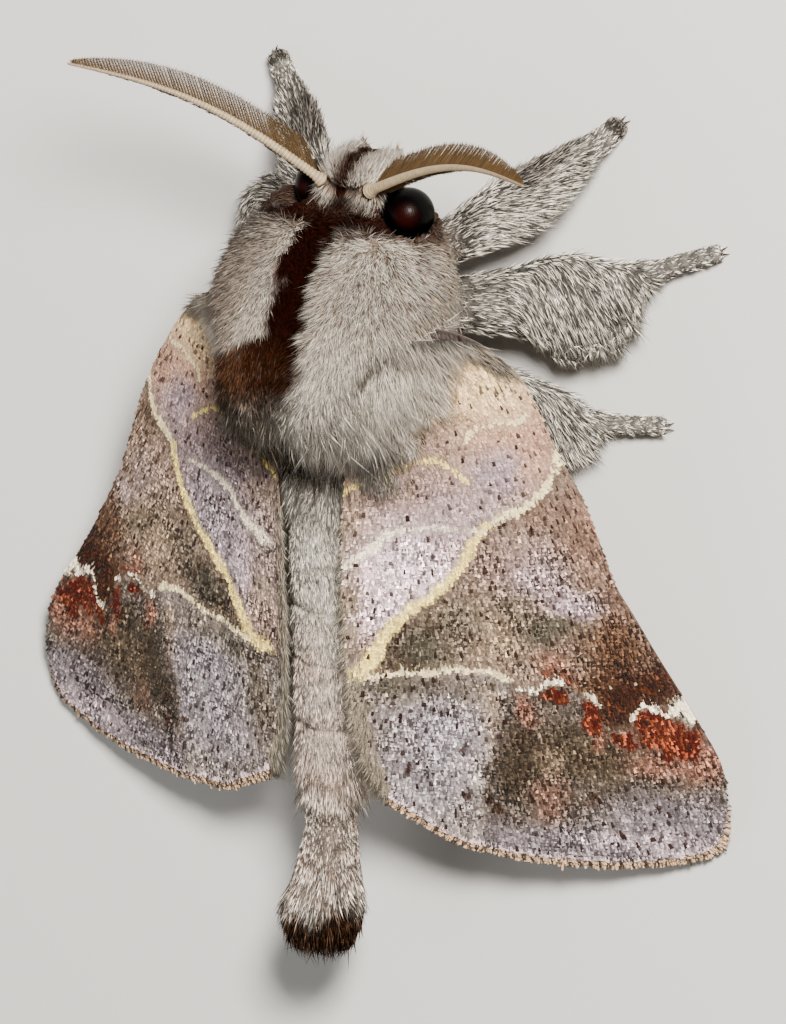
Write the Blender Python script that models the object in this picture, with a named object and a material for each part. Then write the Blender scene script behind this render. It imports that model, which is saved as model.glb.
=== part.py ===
"""A male prominent moth of the genus Clostera, alive at rest, built at life size.

Metres, +Z up, the origin on the floor under the middle of the whole moth. It stands on its six feet
and the undersides of its wing tips, all on z = 0. The head points along -Y and the moth's right side
lies toward -X.

Most of the moth is laid out in the frame of its own body: r to the moth's right, b tailward along
the back and u out of the back, from a point on the midline level with the wings' inner margins. The
legs are laid out over the floor under that point: r to the right, y tailward, z up.
"""

import math
from itertools import pairwise

import bmesh
import bpy
from mathutils import Vector

# Driving dimensions. Every length below is in units of the forewing, which is 16.7 units long.
FOREWING_LENGTH = 0.015
UNIT = FOREWING_LENGTH / 16.7
WALL = 0.0005 / UNIT  # the least thickness of wings and feelers
GAP = 0.0001 / UNIT  # between neighbouring pieces
PITCH = math.radians(14)  # the body's rise from tail to head
BACK_HEIGHT = 6.9  # of the body frame's origin over the floor
MIDDLE = 5.6  # how far tailward of the body frame's origin the whole moth's middle lies

SIDES = {"left": -1, "right": 1}

# The thorax, coat and all: (b, top, bottom, half width).
THORAX = (
    (-2.75, -1.7, -3.3, 1.3),
    (-2.3, -0.5, -4.0, 2.5),
    (-1.5, 0.6, -4.4, 3.15),
    (-0.5, 1.65, -4.6, 3.4),
    (0.5, 2.3, -4.6, 3.4),
    (1.5, 2.4, -4.3, 3.3),
    (2.4, 1.95, -3.7, 2.9),
    (3.1, 1.2, -2.9, 2.2),
    (3.5, 0.5, -2.2, 1.3),
)
CREST_GROOVE = 0.3  # depth of the groove between the shoulder covers
TEGULA_INNER = 0.42  # r of the groove's edge
TEGULA_LOWER = -0.55  # u of the shoulder covers' lower edge, just over the wings

# The abdomen: (b, top, bottom, half width), and the b of the joints between its segments.
ABDOMEN = (
    (2.5, 0.1, -2.3, 1.1),
    (4.0, 0.3, -2.5, 1.18),
    (7.0, 0.35, -2.4, 1.18),
    (10.0, 0.38, -2.15, 1.12),
    (12.2, 0.4, -1.7, 1.02),
    (13.5, 0.35, -1.35, 0.9),
)
SEGMENT_JOINTS = (4.9, 6.1, 7.2, 8.6, 10.1, 12.0)
TAIL_TUFT = (
    (13.5, 0.35, -1.3, 0.85),
    (14.6, 0.6, -1.2, 0.92),
    (15.8, 1.05, -1.05, 1.1),
    (16.9, 1.35, -0.75, 1.15),
    (17.6, 1.2, -0.35, 0.95),
    (17.85, 0.85, 0.05, 0.6),
)

# Wing outlines in plan, (r, b): each margin from the base outward, the outer one from apex to tornus.
ROOF_SLOPE = 0.364  # the wings' fall to each side
ROOF_EDGE = 1.2  # r at which the wings are level with the frame's origin
COSTAL_DROOP = 0.45
INNER_CURL = 0.2
FOREWING = {
    "costa": ((2.3, -1.0), (4.85, 1.2), (5.9, 3.6), (7.25, 7.2), (9.0, 10.2), (9.95, 12.3), (10.1, 13.3)),
    "inner": ((1.35, 1.0), (0.97, 4.6), (0.9, 8.6), (1.4, 13.0)),
    "outer": ((10.1, 13.3), (9.6, 14.55), (8.1, 14.95), (6.0, 14.85), (4.4, 14.5), (2.6, 13.95), (1.4, 13.0)),
}
HINDWING = {
    "costa": ((2.2, 1.6), (4.6, 3.6), (6.3, 7.2), (7.0, 10.4)),
    "inner": ((1.45, 2.6), (1.42, 7.5), (1.45, 12.6)),
    "outer": ((7.0, 10.4), (6.2, 12.7), (4.5, 13.7), (2.8, 14.0), (1.8, 13.7), (1.45, 12.6)),
}

HEAD_CENTRE = (0, -2.7, -3.05)
HEAD_RADIUS = 1.12
BROW_TUFT = ((0, -3.0, -2.75), (0, -3.8, -2.2))  # its root and the centre of its end
BROW_RADII = (0.85, 0.5)
EYE_CENTRE = (1.3, -2.2, -3.05)
EYE_RADIUS = 0.68
PALP = ((0.45, -3.15, -3.6), (0.5, -3.35, -4.15))
PALP_RADIUS = 0.29

ANTENNA_BASE = (0.8, -3.2, -2.05)
ANTENNA_TIP = {"left": (6.9, -6.1, 0), "right": (6.9, -5.98, 0.73)}
ANTENNA_BOW = {"left": 0.5, "right": 0.55}  # how far it bends forward and down
BOW_LINE = (0, -0.9, -0.44)
FRONT_BRANCHES = (0.33, -0.85, -0.41)  # the lie of the two rows of branches
REAR_BRANCHES = (0.51, 0.53, -0.68)
BRANCH_LENGTH = 0.75
STALK_RADIUS = 0.3

# Legs over the floor: (r, y, z, half width, half depth) from body to foot, with the coat's width.
# The first two rows of each are its femur, and the last two its tarsus.
LEGS = {
    "front_right": (
        (0.9, -1.3, 3.3, 0.5, 0.5),
        (2.3, -2.35, 2.45, 0.8, 0.6),
        (3.2, -3.05, 1.9, 0.95, 0.6),
        (4.0, -3.95, 1.25, 0.68, 0.5),
        (4.55, -4.65, 0.68, 0.4, 0.34),
        (5.02, -5.28, 0.26, 0.28, 0.28),
    ),
    "front_left": (
        (-0.9, -1.3, 3.3, 0.5, 0.5),
        (-2.4, -2.4, 2.5, 0.75, 0.6),
        (-3.15, -2.9, 2.0, 0.85, 0.6),
        (-3.95, -3.75, 1.15, 0.7, 0.5),
        (-4.65, -4.5, 0.55, 0.35, 0.32),
        (-5.23, -5.07, 0.26, 0.28, 0.28),
    ),
    "mid_right": (
        (1.0, -0.1, 2.9, 0.6, 0.6),
        (3.0, -0.35, 1.9, 1.0, 0.75),
        (4.2, -0.45, 1.45, 1.4, 0.7),
        (5.4, -0.65, 1.0, 1.4, 0.6),
        (6.2, -1.3, 0.78, 0.75, 0.5),
        (6.8, -1.8, 0.5, 0.3, 0.3),
        (8.21, -2.46, 0.24, 0.26, 0.26),
    ),
    "mid_left": (
        (-1.0, -0.1, 2.9, 0.6, 0.6),
        (-2.9, -1.0, 2.0, 0.72, 0.6),
        (-4.15, -1.6, 1.6, 0.8, 0.65),
        (-4.75, -0.7, 1.05, 0.75, 0.55),
        (-4.95, 0.25, 0.6, 0.6, 0.45),
        (-4.95, 0.9, 0.42, 0.3, 0.3),
        (-4.9, 1.95, 0.24, 0.26, 0.26),
    ),
    "hind_right": (
        (1.1, 1.5, 2.9, 0.6, 0.6),
        (2.6, 2.0, 2.1, 0.9, 0.65),
        (4.0, 2.7, 1.4, 1.15, 0.6),
        (4.8, 2.95, 0.95, 1.1, 0.5),
        (5.4, 2.75, 0.6, 0.5, 0.4),
        (5.9, 2.6, 0.42, 0.28, 0.28),
        (7.12, 2.45, 0.24, 0.25, 0.25),
    ),
    "hind_left": (
        (-1.1, 1.5, 2.9, 0.6, 0.6),
        (-2.6, 2.4, 2.1, 0.9, 0.65),
        (-4.0, 3.4, 1.4, 1.1, 0.6),
        (-4.8, 4.2, 0.85, 1.0, 0.5),
        (-5.2, 4.8, 0.5, 0.45, 0.36),
        (-5.35, 5.2, 0.4, 0.28, 0.28),
        (-5.65, 6.3, 0.24, 0.25, 0.25),
    ),
}

COLOURS = {  # (colour, roughness)
    "coat": ((0.42, 0.38, 0.36), 0.9),
    "dark_coat": ((0.1, 0.06, 0.045), 0.9),
    "wing": ((0.36, 0.27, 0.22), 0.85),
    "hindwing": ((0.3, 0.25, 0.21), 0.85),
    "abdomen": ((0.46, 0.41, 0.37), 0.9),
    "leg": ((0.4, 0.37, 0.35), 0.9),
    "antenna": ((0.33, 0.24, 0.16), 0.8),
    "eye": ((0.012, 0.006, 0.005), 0.12),
}


def clear_scene():
    for thing in list(bpy.data.objects):
        bpy.data.objects.remove(thing, do_unlink=True)


def material(kind):
    """The material of that kind, made the first time it is asked for."""
    made = bpy.data.materials.get(kind)
    if made:
        return made
    colour, roughness = COLOURS[kind]
    made = bpy.data.materials.new(kind)
    made.use_nodes = True
    surface = made.node_tree.nodes["Principled BSDF"]
    surface.inputs["Base Color"].default_value = (*colour, 1)
    surface.inputs["Roughness"].default_value = roughness
    surface.inputs["Metallic"].default_value = 0
    return made


def on_body(r, b, u):
    """A point given in the body's frame."""
    rise, level = math.sin(PITCH), math.cos(PITCH)
    return over_floor(r, b * level + u * rise, BACK_HEIGHT + u * level - b * rise)


def over_floor(r, y, z):
    """A point given over the floor under the body frame's origin."""
    return Vector((-r, y - MIDDLE, z))


def mirrored(point, side):
    """A point of the right side, taken to the side asked for."""
    r, b, u = point
    return r * SIDES[side], b, u


def through(rows, steps):
    """Rows of numbers on a smooth curve (Catmull-Rom) through the given ones, steps for each span."""
    rows = [tuple(map(float, row)) for row in rows]
    ends = [[2 * a - b for a, b in zip(*pair)] for pair in ((rows[0], rows[1]), (rows[-1], rows[-2]))]
    padded = [ends[0], *rows, ends[1]]
    found = []
    for before, start, end, after in zip(padded, padded[1:], padded[2:], padded[3:]):
        for step in range(steps):
            t = step / steps
            weights = (2 * t**2 - t - t**3, 2 - 5 * t**2 + 3 * t**3, t + 4 * t**2 - 3 * t**3, t**3 - t**2)
            columns = zip(before, start, end, after)
            found.append(tuple(sum(w * value for w, value in zip(weights, column)) / 2 for column in columns))
    return [*found, rows[-1]]


def along(rows, share):
    """The row at that share of the way along a smooth curve through the given rows."""
    steps = 16
    fine = through(rows, steps)
    place = min(max(share, 0), 1) * (len(fine) - 1)
    low = min(int(place), len(fine) - 2)
    return tuple(a + (b - a) * (place - low) for a, b in zip(fine[low], fine[low + 1]))


def loft(rings):
    """A closed skin through rings of equally many points, with flat ends."""
    mesh = bmesh.new()
    loops = [[mesh.verts.new(point) for point in ring] for ring in rings]
    for near, far in pairwise(loops):
        for i in range(len(near)):
            mesh.faces.new((near[i - 1], near[i], far[i], far[i - 1]))
    mesh.faces.new(loops[0])
    mesh.faces.new(loops[-1][::-1])
    return mesh


def finished(name, mesh, kind):
    """The object made from a mesh laid out in units, smooth on its round stretches."""
    bmesh.ops.scale(mesh, vec=(UNIT, UNIT, UNIT), verts=mesh.verts)
    bmesh.ops.recalc_face_normals(mesh, faces=mesh.faces)
    data = bpy.data.meshes.new(name)
    mesh.to_mesh(data)
    mesh.free()
    data.shade_smooth()
    data.set_sharp_from_angle(angle=math.radians(40))
    data.materials.append(material(kind))
    made = bpy.data.objects.new(name, data)
    bpy.context.scene.collection.objects.link(made)
    return made


def cutter(name, mesh):
    made = finished(name, mesh, "coat")
    made.hide_render = True
    made.display_type = "WIRE"
    return made


def combine(piece, operation, *others):
    for other in others:
        change = piece.modifiers.new(other.name, "BOOLEAN")
        change.operation = operation
        change.object = other


def rest_on_floor(mesh):
    """Flattens what would pass below the floor into a sole."""
    for vertex in mesh.verts:
        vertex.co.z = max(vertex.co.z, 0)


def trunk(rows, sides, steps, grow=0.0, groove=0.0, square=1.0):
    """A stretch of the body: rings across the back from rows of (b, top, bottom, half width)."""
    rings = []
    for b, top, bottom, half_width in through(rows, steps):
        middle, half_height = (top + bottom) / 2, (top - bottom) / 2 + grow
        ring = []
        for i in range(sides):
            angle = 2 * math.pi * i / sides
            across = math.copysign(abs(math.cos(angle)) ** square, math.cos(angle))
            upward = math.copysign(abs(math.sin(angle)) ** square, math.sin(angle))
            r = (half_width + grow) * across
            dip = groove * math.exp(-((r / TEGULA_INNER) ** 2)) * max(upward, 0)
            ring.append(on_body(r, b, middle + half_height * upward - dip))
        rings.append(ring)
    return loft(rings)


def slab(low, high):
    """A block between two corners in the body's frame."""
    rings = []
    for b in (low[1], high[1]):
        corners = ((low[0], low[2]), (high[0], low[2]), (high[0], high[2]), (low[0], high[2]))
        rings.append([on_body(r, b, u) for r, u in corners])
    return loft(rings)


def ball(centre, radius):
    """A round piece in the body's frame."""
    mesh = bmesh.new()
    bmesh.ops.create_icosphere(mesh, subdivisions=3, radius=radius)
    for vertex in mesh.verts:
        vertex.co = on_body(*(Vector(centre) + vertex.co))
    return mesh


def cone(root, end, root_radius, end_radius, sides=10):
    """A tapering piece between two points of the body's frame, with a domed end."""
    start, stop = on_body(*root), on_body(*end)
    line = (stop - start).normalized()
    across = line.cross(Vector((0, 0, 1))).normalized()
    upward = across.cross(line)
    middle_radius = (root_radius + end_radius) / 2
    profile = ((0, root_radius), (0.5, middle_radius), (0.85, end_radius), (1, end_radius / 2))
    rings = []
    for share, radius in profile:
        centre = start.lerp(stop, share)
        angles = [2 * math.pi * i / sides for i in range(sides)]
        rings.append([centre + radius * (across * math.cos(a) + upward * math.sin(a)) for a in angles])
    return loft(rings)


def thorax_mesh(grow=0.0):
    return trunk(THORAX, sides=28, steps=2, grow=grow, groove=CREST_GROOVE)


def head_mesh(grow=0.0):
    return ball(HEAD_CENTRE, HEAD_RADIUS + grow)


def eye_mesh(side, grow=0.0):
    return ball(mirrored(EYE_CENTRE, side), EYE_RADIUS + grow)


def wing_height(r, b):
    """How far out of the back the forewing's upper face lies over a point of the plan."""
    costa = 4.55 + 0.43 * b
    out = min(max(r / costa, 0), 1)
    bend = math.sin(math.pi * min(max((b + 1) / 12, 0), 1))
    curl = min(max((1.6 - r) / 0.7, 0), 1) ** 2
    lift = 0.12 * min(max((b - 10) / 3, 0), 1) * out**2
    return -ROOF_SLOPE * (r - ROOF_EDGE) - COSTAL_DROOP * out**4 * bend + INNER_CURL * curl + lift


def wing_mesh(outline, side, depth, lengthwise, crosswise, grow=0.0):
    """A plate of WALL's thickness whose upper face lies depth below the forewing's."""
    apex, tornus = outline["costa"][-1], outline["inner"][-1]
    upper, lower = {}, {}
    mesh = bmesh.new()
    for i in range(lengthwise + 1):
        out = i / lengthwise
        front, rear = along(outline["costa"], out), along(outline["inner"], out)
        for j in range(crosswise + 1):
            back = j / crosswise
            edge = along(outline["outer"], back)
            plan = []
            for k in range(2):
                straight = apex[k] + (tornus[k] - apex[k]) * back
                plan.append(front[k] + (rear[k] - front[k]) * back + (edge[k] - straight) * out**2)
            top = wing_height(*plan) - depth
            r = plan[0] * SIDES[side]
            upper[i, j] = mesh.verts.new(on_body(r, plan[1], top + grow))
            lower[i, j] = mesh.verts.new(on_body(r, plan[1], top - WALL - grow))
    for i in range(lengthwise):
        for j in range(crosswise):
            corners = ((i, j), (i + 1, j), (i + 1, j + 1), (i, j + 1))
            mesh.faces.new([upper[c] for c in corners])
            mesh.faces.new([lower[c] for c in reversed(corners)])
    rim = [(i, 0) for i in range(lengthwise)]
    rim += [(lengthwise, j) for j in range(crosswise)]
    rim += [(i, crosswise) for i in range(lengthwise, 0, -1)]
    rim += [(0, j) for j in range(crosswise, 0, -1)]
    for near, far in pairwise([*rim, rim[0]]):
        mesh.faces.new((upper[near], lower[near], lower[far], upper[far]))
    return mesh


def antenna_mesh(side, rings=15):
    """A trough with two walls, which a feeler's stem and its two rows of branches fill."""
    base, tip = Vector(mirrored(ANTENNA_BASE, side)), Vector(mirrored(ANTENNA_TIP[side], side))
    front = Vector(mirrored(FRONT_BRANCHES, side)).normalized()
    rear = Vector(mirrored(REAR_BRANCHES, side)).normalized()
    inward = (front + rear).normalized()
    clear_of_rear = (front * front.dot(rear) - rear).normalized()
    clear_of_front = (rear * front.dot(rear) - front).normalized()
    half_wall = WALL / 2
    loops = []
    for i in range(rings):
        share = i / (rings - 1)
        bow = math.sin(math.pi * share) * ANTENNA_BOW[side]
        centre = base.lerp(tip, share) + Vector(mirrored(BOW_LINE, side)) * bow
        length = max(BRANCH_LENGTH * min(1, 1.8 * (1 - share)), half_wall * 1.1)
        trough = (
            -inward * half_wall,
            front * length + clear_of_rear * half_wall,
            front * length - clear_of_rear * half_wall,
            inward * half_wall * math.sqrt(2),
            rear * length - clear_of_front * half_wall,
            rear * length + clear_of_front * half_wall,
        )
        stalk = [line.normalized() * STALK_RADIUS for line in trough]
        opened = min(1, share / 0.15) ** 2
        loops.append([on_body(*(centre + a.lerp(b, opened))) for a, b in zip(stalk, trough)])
    return loft(loops)


def leg_rings(rows, sides=12, steps=2):
    """Rings along a leg, each square to it, with the line of the leg at each."""
    path = through(rows, steps)
    points = [over_floor(*row[:3]) for row in path]
    rings = []
    for i, (point, row) in enumerate(zip(points, path)):
        line = (points[min(i + 1, len(points) - 1)] - points[max(i - 1, 0)]).normalized()
        across = line.cross(Vector((0, 0, 1))).normalized()
        upward = across.cross(line)
        angles = [2 * math.pi * n / sides for n in range(sides)]
        ring = [point + across * row[3] * math.cos(a) + upward * row[4] * math.sin(a) for a in angles]
        rings.append((ring, line))
    return rings


def leg(name, rows, body):
    """Femur, tibia and tarsus of one leg, trimmed to the body at the hip and flat under the foot."""
    steps = 2
    rings = leg_rings(rows, steps=steps)
    hip, knee, ankle, foot = 0, steps, (len(rows) - 2) * steps, len(rings) - 1
    for part, start, stop in (("femur", hip, knee), ("tibia", knee, ankle), ("tarsus", ankle, foot)):
        stretch = [list(ring) for ring, line in rings[start : stop + 1]]
        if part != "femur":
            stretch[0] = [point + rings[start][1] * GAP / 2 for point in stretch[0]]
        if part != "tarsus":
            stretch[-1] = [point - rings[stop][1] * GAP / 2 for point in stretch[-1]]
        mesh = loft(stretch)
        rest_on_floor(mesh)
        made = finished(f"leg_{name}_{part}", mesh, "leg")
        if part == "femur":
            combine(made, "DIFFERENCE", body)


def build_thorax():
    """The thorax and the two shoulder covers parted from it, with sockets for head and eyes."""
    thorax = finished("thorax", thorax_mesh(), "coat")
    head_room = cutter("head_room", head_mesh(GAP))
    eye_rooms = [cutter(f"eye_room_{side}", eye_mesh(side, GAP)) for side in SIDES]
    combine(thorax, "DIFFERENCE", head_room, *eye_rooms)
    for side, sign in SIDES.items():
        corners = []
        for margin in (0, GAP):
            inner, outer = sign * (TEGULA_INNER - margin), sign * 5
            low = (min(inner, outer), -2.6 - margin, TEGULA_LOWER - margin)
            high = (max(inner, outer), 5, 4)
            corners.append((low, high))
        tegula = finished(f"tegula_{side}", thorax_mesh(), "coat")
        combine(tegula, "INTERSECT", cutter(f"tegula_block_{side}", slab(*corners[0])))
        combine(thorax, "DIFFERENCE", cutter(f"tegula_room_{side}", slab(*corners[1])))


def build_head():
    head = finished("head", head_mesh(), "coat")
    tuft = cutter("brow_tuft", cone(*BROW_TUFT, *BROW_RADII))
    combine(head, "UNION", tuft)
    for side in SIDES:
        combine(head, "DIFFERENCE", bpy.data.objects[f"eye_room_{side}"])
        finished(f"eye_{side}", eye_mesh(side), "eye")
        root, end = (mirrored(point, side) for point in PALP)
        palp = finished(f"palp_{side}", cone(root, end, PALP_RADIUS * 1.2, PALP_RADIUS), "coat")
        combine(palp, "DIFFERENCE", bpy.data.objects["head_room"])
        finished(f"antenna_{side}", antenna_mesh(side), "antenna")


def build_abdomen():
    """Seven segments of one smooth shape, parted by thin cuts, and the tuft at the end."""
    joints = (ABDOMEN[0][0] - 1, *SEGMENT_JOINTS, ABDOMEN[-1][0] - GAP)
    for number, (start, stop) in enumerate(pairwise(joints), 1):
        segment = finished(f"abdomen_segment_{number}", trunk(ABDOMEN, sides=20, steps=2), "abdomen")
        low, high = (-3, start + GAP / 2, -4), (3, stop - GAP / 2, 3)
        stretch = cutter(f"segment_block_{number}", slab(low, high))
        combine(segment, "INTERSECT", stretch)
        combine(segment, "DIFFERENCE", *(bpy.data.objects[f"forewing_room_{side}"] for side in SIDES))
        if number == 1:
            combine(segment, "DIFFERENCE", bpy.data.objects["thorax_room"])
    finished("tail_tuft", trunk(TAIL_TUFT, sides=20, steps=2, square=0.85), "dark_coat")


def build_wings():
    thorax_room = bpy.data.objects["thorax_room"]
    for side in SIDES:
        fore = wing_mesh(FOREWING, side, 0, 14, 10)
        rest_on_floor(fore)
        forewing = finished(f"forewing_{side}", fore, "wing")
        hind = wing_mesh(HINDWING, side, WALL + GAP, 9, 7)
        hindwing = finished(f"hindwing_{side}", hind, "hindwing")
        combine(forewing, "DIFFERENCE", thorax_room)
        combine(hindwing, "DIFFERENCE", thorax_room)
        cutter(f"forewing_room_{side}", wing_mesh(FOREWING, side, 0, 14, 10, grow=GAP))


def main():
    clear_scene()
    build_thorax()
    thorax_room = cutter("thorax_room", thorax_mesh(GAP))
    build_head()
    build_wings()
    build_abdomen()
    for name, rows in LEGS.items():
        leg(name, rows, thorax_room)


main()
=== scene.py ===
"""A male prominent moth of the genus Clostera at rest, dressed over its solids at life size.

One skin covers head, thorax, abdomen, tail and legs, and carries a coat of fine tufts. The wings are thin
sheets under rows of scales, the feelers are combs with two rows of branches, and the eyes are faceted.
Shapes are laid out in units of the forewing, which is 16.7 units long, and brought to metres at the end.
"""

import itertools
import math

import bmesh
import bpy
import numpy as np
from mathutils import Matrix, Vector
from mathutils.bvhtree import BVHTree


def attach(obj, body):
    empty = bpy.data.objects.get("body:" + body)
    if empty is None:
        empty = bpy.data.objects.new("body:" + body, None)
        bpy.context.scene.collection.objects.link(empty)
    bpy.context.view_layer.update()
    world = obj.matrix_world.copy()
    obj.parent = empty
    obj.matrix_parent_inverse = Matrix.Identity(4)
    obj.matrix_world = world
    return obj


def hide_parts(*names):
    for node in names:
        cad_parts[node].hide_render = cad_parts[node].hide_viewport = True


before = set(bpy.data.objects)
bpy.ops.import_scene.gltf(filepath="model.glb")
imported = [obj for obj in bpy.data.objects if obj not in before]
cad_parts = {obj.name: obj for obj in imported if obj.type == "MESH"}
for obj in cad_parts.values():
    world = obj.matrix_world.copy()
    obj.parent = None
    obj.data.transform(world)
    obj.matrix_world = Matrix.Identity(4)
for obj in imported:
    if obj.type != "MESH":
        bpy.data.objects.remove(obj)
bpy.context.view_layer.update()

FOREWING_LENGTH = 0.015
UNIT = FOREWING_LENGTH / 16.7
PITCH = math.radians(14)  # the body's rise from tail to head
BACK_HEIGHT = 6.9  # of the body frame's origin over the floor
MIDDLE = 5.6  # how far tailward of the body frame's origin the whole moth's middle lies
FAR = 99.0  # beyond any part of the moth
SIDES = {"left": -1, "right": 1}
SEED = 11

ROOF_SLOPE = 0.364  # of the roof that the forewings make over the abdomen
ROOF_EDGE = 1.2  # where the roof begins, out from the midline
COSTAL_DROOP = 0.45  # of the front margin
INNER_CURL = 0.2  # of the inner margin, upward
# Wing outlines in plan, (out from the midline, tailward): each margin from the base outward.
FOREWING = {
    "costa": ((2.3, -0.3), (3.4, -0.3), (4.1, -0.05), (4.6, 0.35), (5.2, 1.1), (5.55, 2.0), (5.95, 3.2),
              (6.5, 4.5), (7.0, 6.0), (7.33, 7.0), (7.86, 8.0), (8.4, 9.0), (9.0, 10.0), (9.6, 11.0),
              (10.05, 12.0), (10.15, 13.1)),
    "inner": ((1.35, 1.0), (0.97, 4.6), (0.9, 8.6), (1.1, 11.5), (1.6, 13.1)),
    "outer": ((10.15, 13.1), (9.95, 13.9), (9.4, 14.4), (8.0, 14.72), (6.7, 14.8), (5.5, 14.75),
              (4.4, 14.6), (3.5, 14.35), (2.3, 13.6), (1.6, 13.1)),
}
# The left wing's root lies a little closer under the shoulder.
LEFT_COSTA = ((2.3, -0.4), (3.7, 0.3), (4.6, 1.25), (5.25, 2.15), (6.1, 3.6), (6.6, 4.7), (7.05, 6.0),
              (7.4, 7.0), (7.9, 8.0), *FOREWING["costa"][11:])
FOREWINGS = {"right": FOREWING, "left": {**FOREWING, "costa": LEFT_COSTA}}
HINDWING = {
    "costa": ((2.2, 1.6), (4.6, 3.6), (6.3, 7.2), (7.0, 10.4)),
    "inner": ((1.45, 2.6), (1.42, 7.5), (1.45, 12.6)),
    "outer": ((7.0, 10.4), (6.2, 12.7), (4.5, 13.7), (2.8, 14.0), (1.8, 13.7), (1.45, 12.6)),
}
WING_MIDDLE = (5.5, 8.0)
SCALE_DEPTH = 0.07  # from the forewing's scale tips down to its sheet
FOREWING_SHEET = 0.16  # the sheet's thickness
HINDWING_DEPTH = 0.5
HINDWING_SHEET = 0.12
PLAN_STEP = 0.02  # to each side of a place, to find the wing's slope there
ROW_GAP = 0.052  # between rows of scales
SCALE_GAP = 0.058  # between the scales of a row
SCALE_SIZE = (0.022, 0.08, 0.2)  # thickness, width and length
SPOT_SIZE = (0.03, 0.095, 0.12)
NARROW_SPOT_SIZE = (0.03, 0.055, 0.15)
SCALE_FAN = (2.2, -5.0)  # the place in plan that the scales point away from
HAIR_FAN = (0.5, -3.0)
ROOT_FUR_EDGE = {"right": (0.55, 4.2), "left": (0.9, 4.1)}  # the slant and reach of the fur on a wing's root
FRINGE_LAYERS = 3
FRINGE_SCALES = 1250  # in each layer
LINE_STEPS = 6  # for each span of a smooth line over a wing

EYE_CENTRE = (1.5, -2.41, -2.72)
EYE_RADIUS = 0.68
EYE_VIEW = (0.5, -0.62, 0.6)  # the way each socket opens, on the right side
EYE_ROOM = 0.72  # the socket's radius
# painted reflection: the eyeshine painted into each eye's colour, and the way it faces
EYE_SHINE = (0.36, -0.34, 0.8)  # the way each eye's rusty glow faces, on the right side
EYE_CLEAR = {1: 0.97, -1: 0.5}  # how much of the right eye (1) and the left one (-1) is kept clear of fur
EYE_SHIFT = {"left": (0.2, -0.05, -0.38), "right": (0, 0, 0)}  # the left eye sits deeper in its fur

ANTENNA_BASE = (0.7, -3.14, -2.14)
ANTENNA_TIP = {"left": (6.9, -6.1, 0), "right": (6.9, -5.98, 0.73)}
ANTENNA_BOW = {"left": 0.5, "right": 0.55}
BOW_LINE = (0, -0.9, -0.44)
BRANCH_ROWS = {"front": (0.33, -0.85, -0.41), "rear": (0.51, 0.53, -0.68)}
BRANCH_LENGTH = 0.9
BRANCH_WIDTH = {"left": 0.06, "right": 0.135}
BRANCH_PAIRS = 78
BRISTLE_PLACES = 26  # along each branch, with a bristle on both sides
CLAW_RINGS = 7

# Legs over the floor: (right, tailward, up, half width, half depth) from body to foot.
LEGS = {
    "front_right": (
        (0.9, -1.3, 3.3, 0.5, 0.5), (2.3, -2.35, 2.45, 0.8, 0.6), (3.2, -3.05, 1.9, 0.95, 0.6),
        (4.0, -3.95, 1.25, 0.68, 0.5), (4.55, -4.65, 0.68, 0.4, 0.34), (5.02, -5.28, 0.26, 0.28, 0.28),
    ),
    "front_left": (
        (-0.9, -1.3, 3.3, 0.5, 0.5), (-2.4, -2.4, 2.5, 0.75, 0.6), (-3.15, -2.9, 2.0, 0.85, 0.6),
        (-3.95, -3.75, 1.15, 0.7, 0.5), (-4.65, -4.5, 0.55, 0.35, 0.32),
        (-5.23, -5.07, 0.26, 0.28, 0.28),
    ),
    "mid_right": (
        (1.0, -0.1, 2.9, 0.6, 0.6), (3.0, -0.35, 1.9, 1.0, 0.75), (4.2, -0.45, 1.45, 1.4, 0.7),
        (5.4, -0.65, 1.0, 1.4, 0.6), (6.2, -1.3, 0.78, 0.75, 0.5), (6.8, -1.8, 0.5, 0.3, 0.3),
        (8.21, -2.46, 0.24, 0.26, 0.26),
    ),
    "mid_left": (
        (-1.0, -0.1, 2.9, 0.6, 0.6), (-2.9, -1.0, 2.0, 0.72, 0.6), (-4.15, -1.6, 1.6, 0.8, 0.65),
        (-4.75, -0.7, 1.05, 0.75, 0.55), (-4.95, 0.25, 0.6, 0.6, 0.45), (-4.95, 0.9, 0.42, 0.3, 0.3),
        (-4.9, 1.95, 0.24, 0.26, 0.26),
    ),
    "hind_right": (
        (1.1, 1.5, 2.9, 0.6, 0.6), (2.6, 2.0, 2.1, 0.9, 0.65), (4.0, 2.7, 1.4, 1.15, 0.6),
        (4.8, 2.95, 0.95, 1.1, 0.5), (5.4, 2.75, 0.6, 0.5, 0.4), (5.9, 2.6, 0.42, 0.28, 0.28),
        (7.12, 2.45, 0.24, 0.25, 0.25),
    ),
    "hind_left": (
        (-1.1, 1.5, 2.9, 0.6, 0.6), (-2.6, 2.4, 2.1, 0.9, 0.65), (-4.0, 3.4, 1.4, 1.1, 0.6),
        (-4.8, 4.2, 0.85, 1.0, 0.5), (-5.2, 4.8, 0.5, 0.45, 0.36), (-5.35, 5.2, 0.4, 0.28, 0.28),
        (-5.65, 6.3, 0.24, 0.25, 0.25),
    ),
}
# How far the hair of each leg's shin lies over toward the tail: it makes the broad fringe there.
LEG_SWEEP = {
    "front_right": 0.5,
    "front_left": 0.3,
    "mid_right": 1.7,
    "mid_left": 0.7,
    "hind_right": 1.3,
    "hind_left": 0.9,
}

# A row of LEG_LINE is a place, then these: half width, half depth, share of the leg, direction, leg number.
HALF_WIDTH, HALF_DEPTH, SHARE, LEG = 3, 4, 5, 9
DIRECTION = slice(6, 9)
FIRST_MID_LEG, FIRST_HIND_LEG = 2, 4

VOXEL = 0.1  # of the skin's mesh
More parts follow.
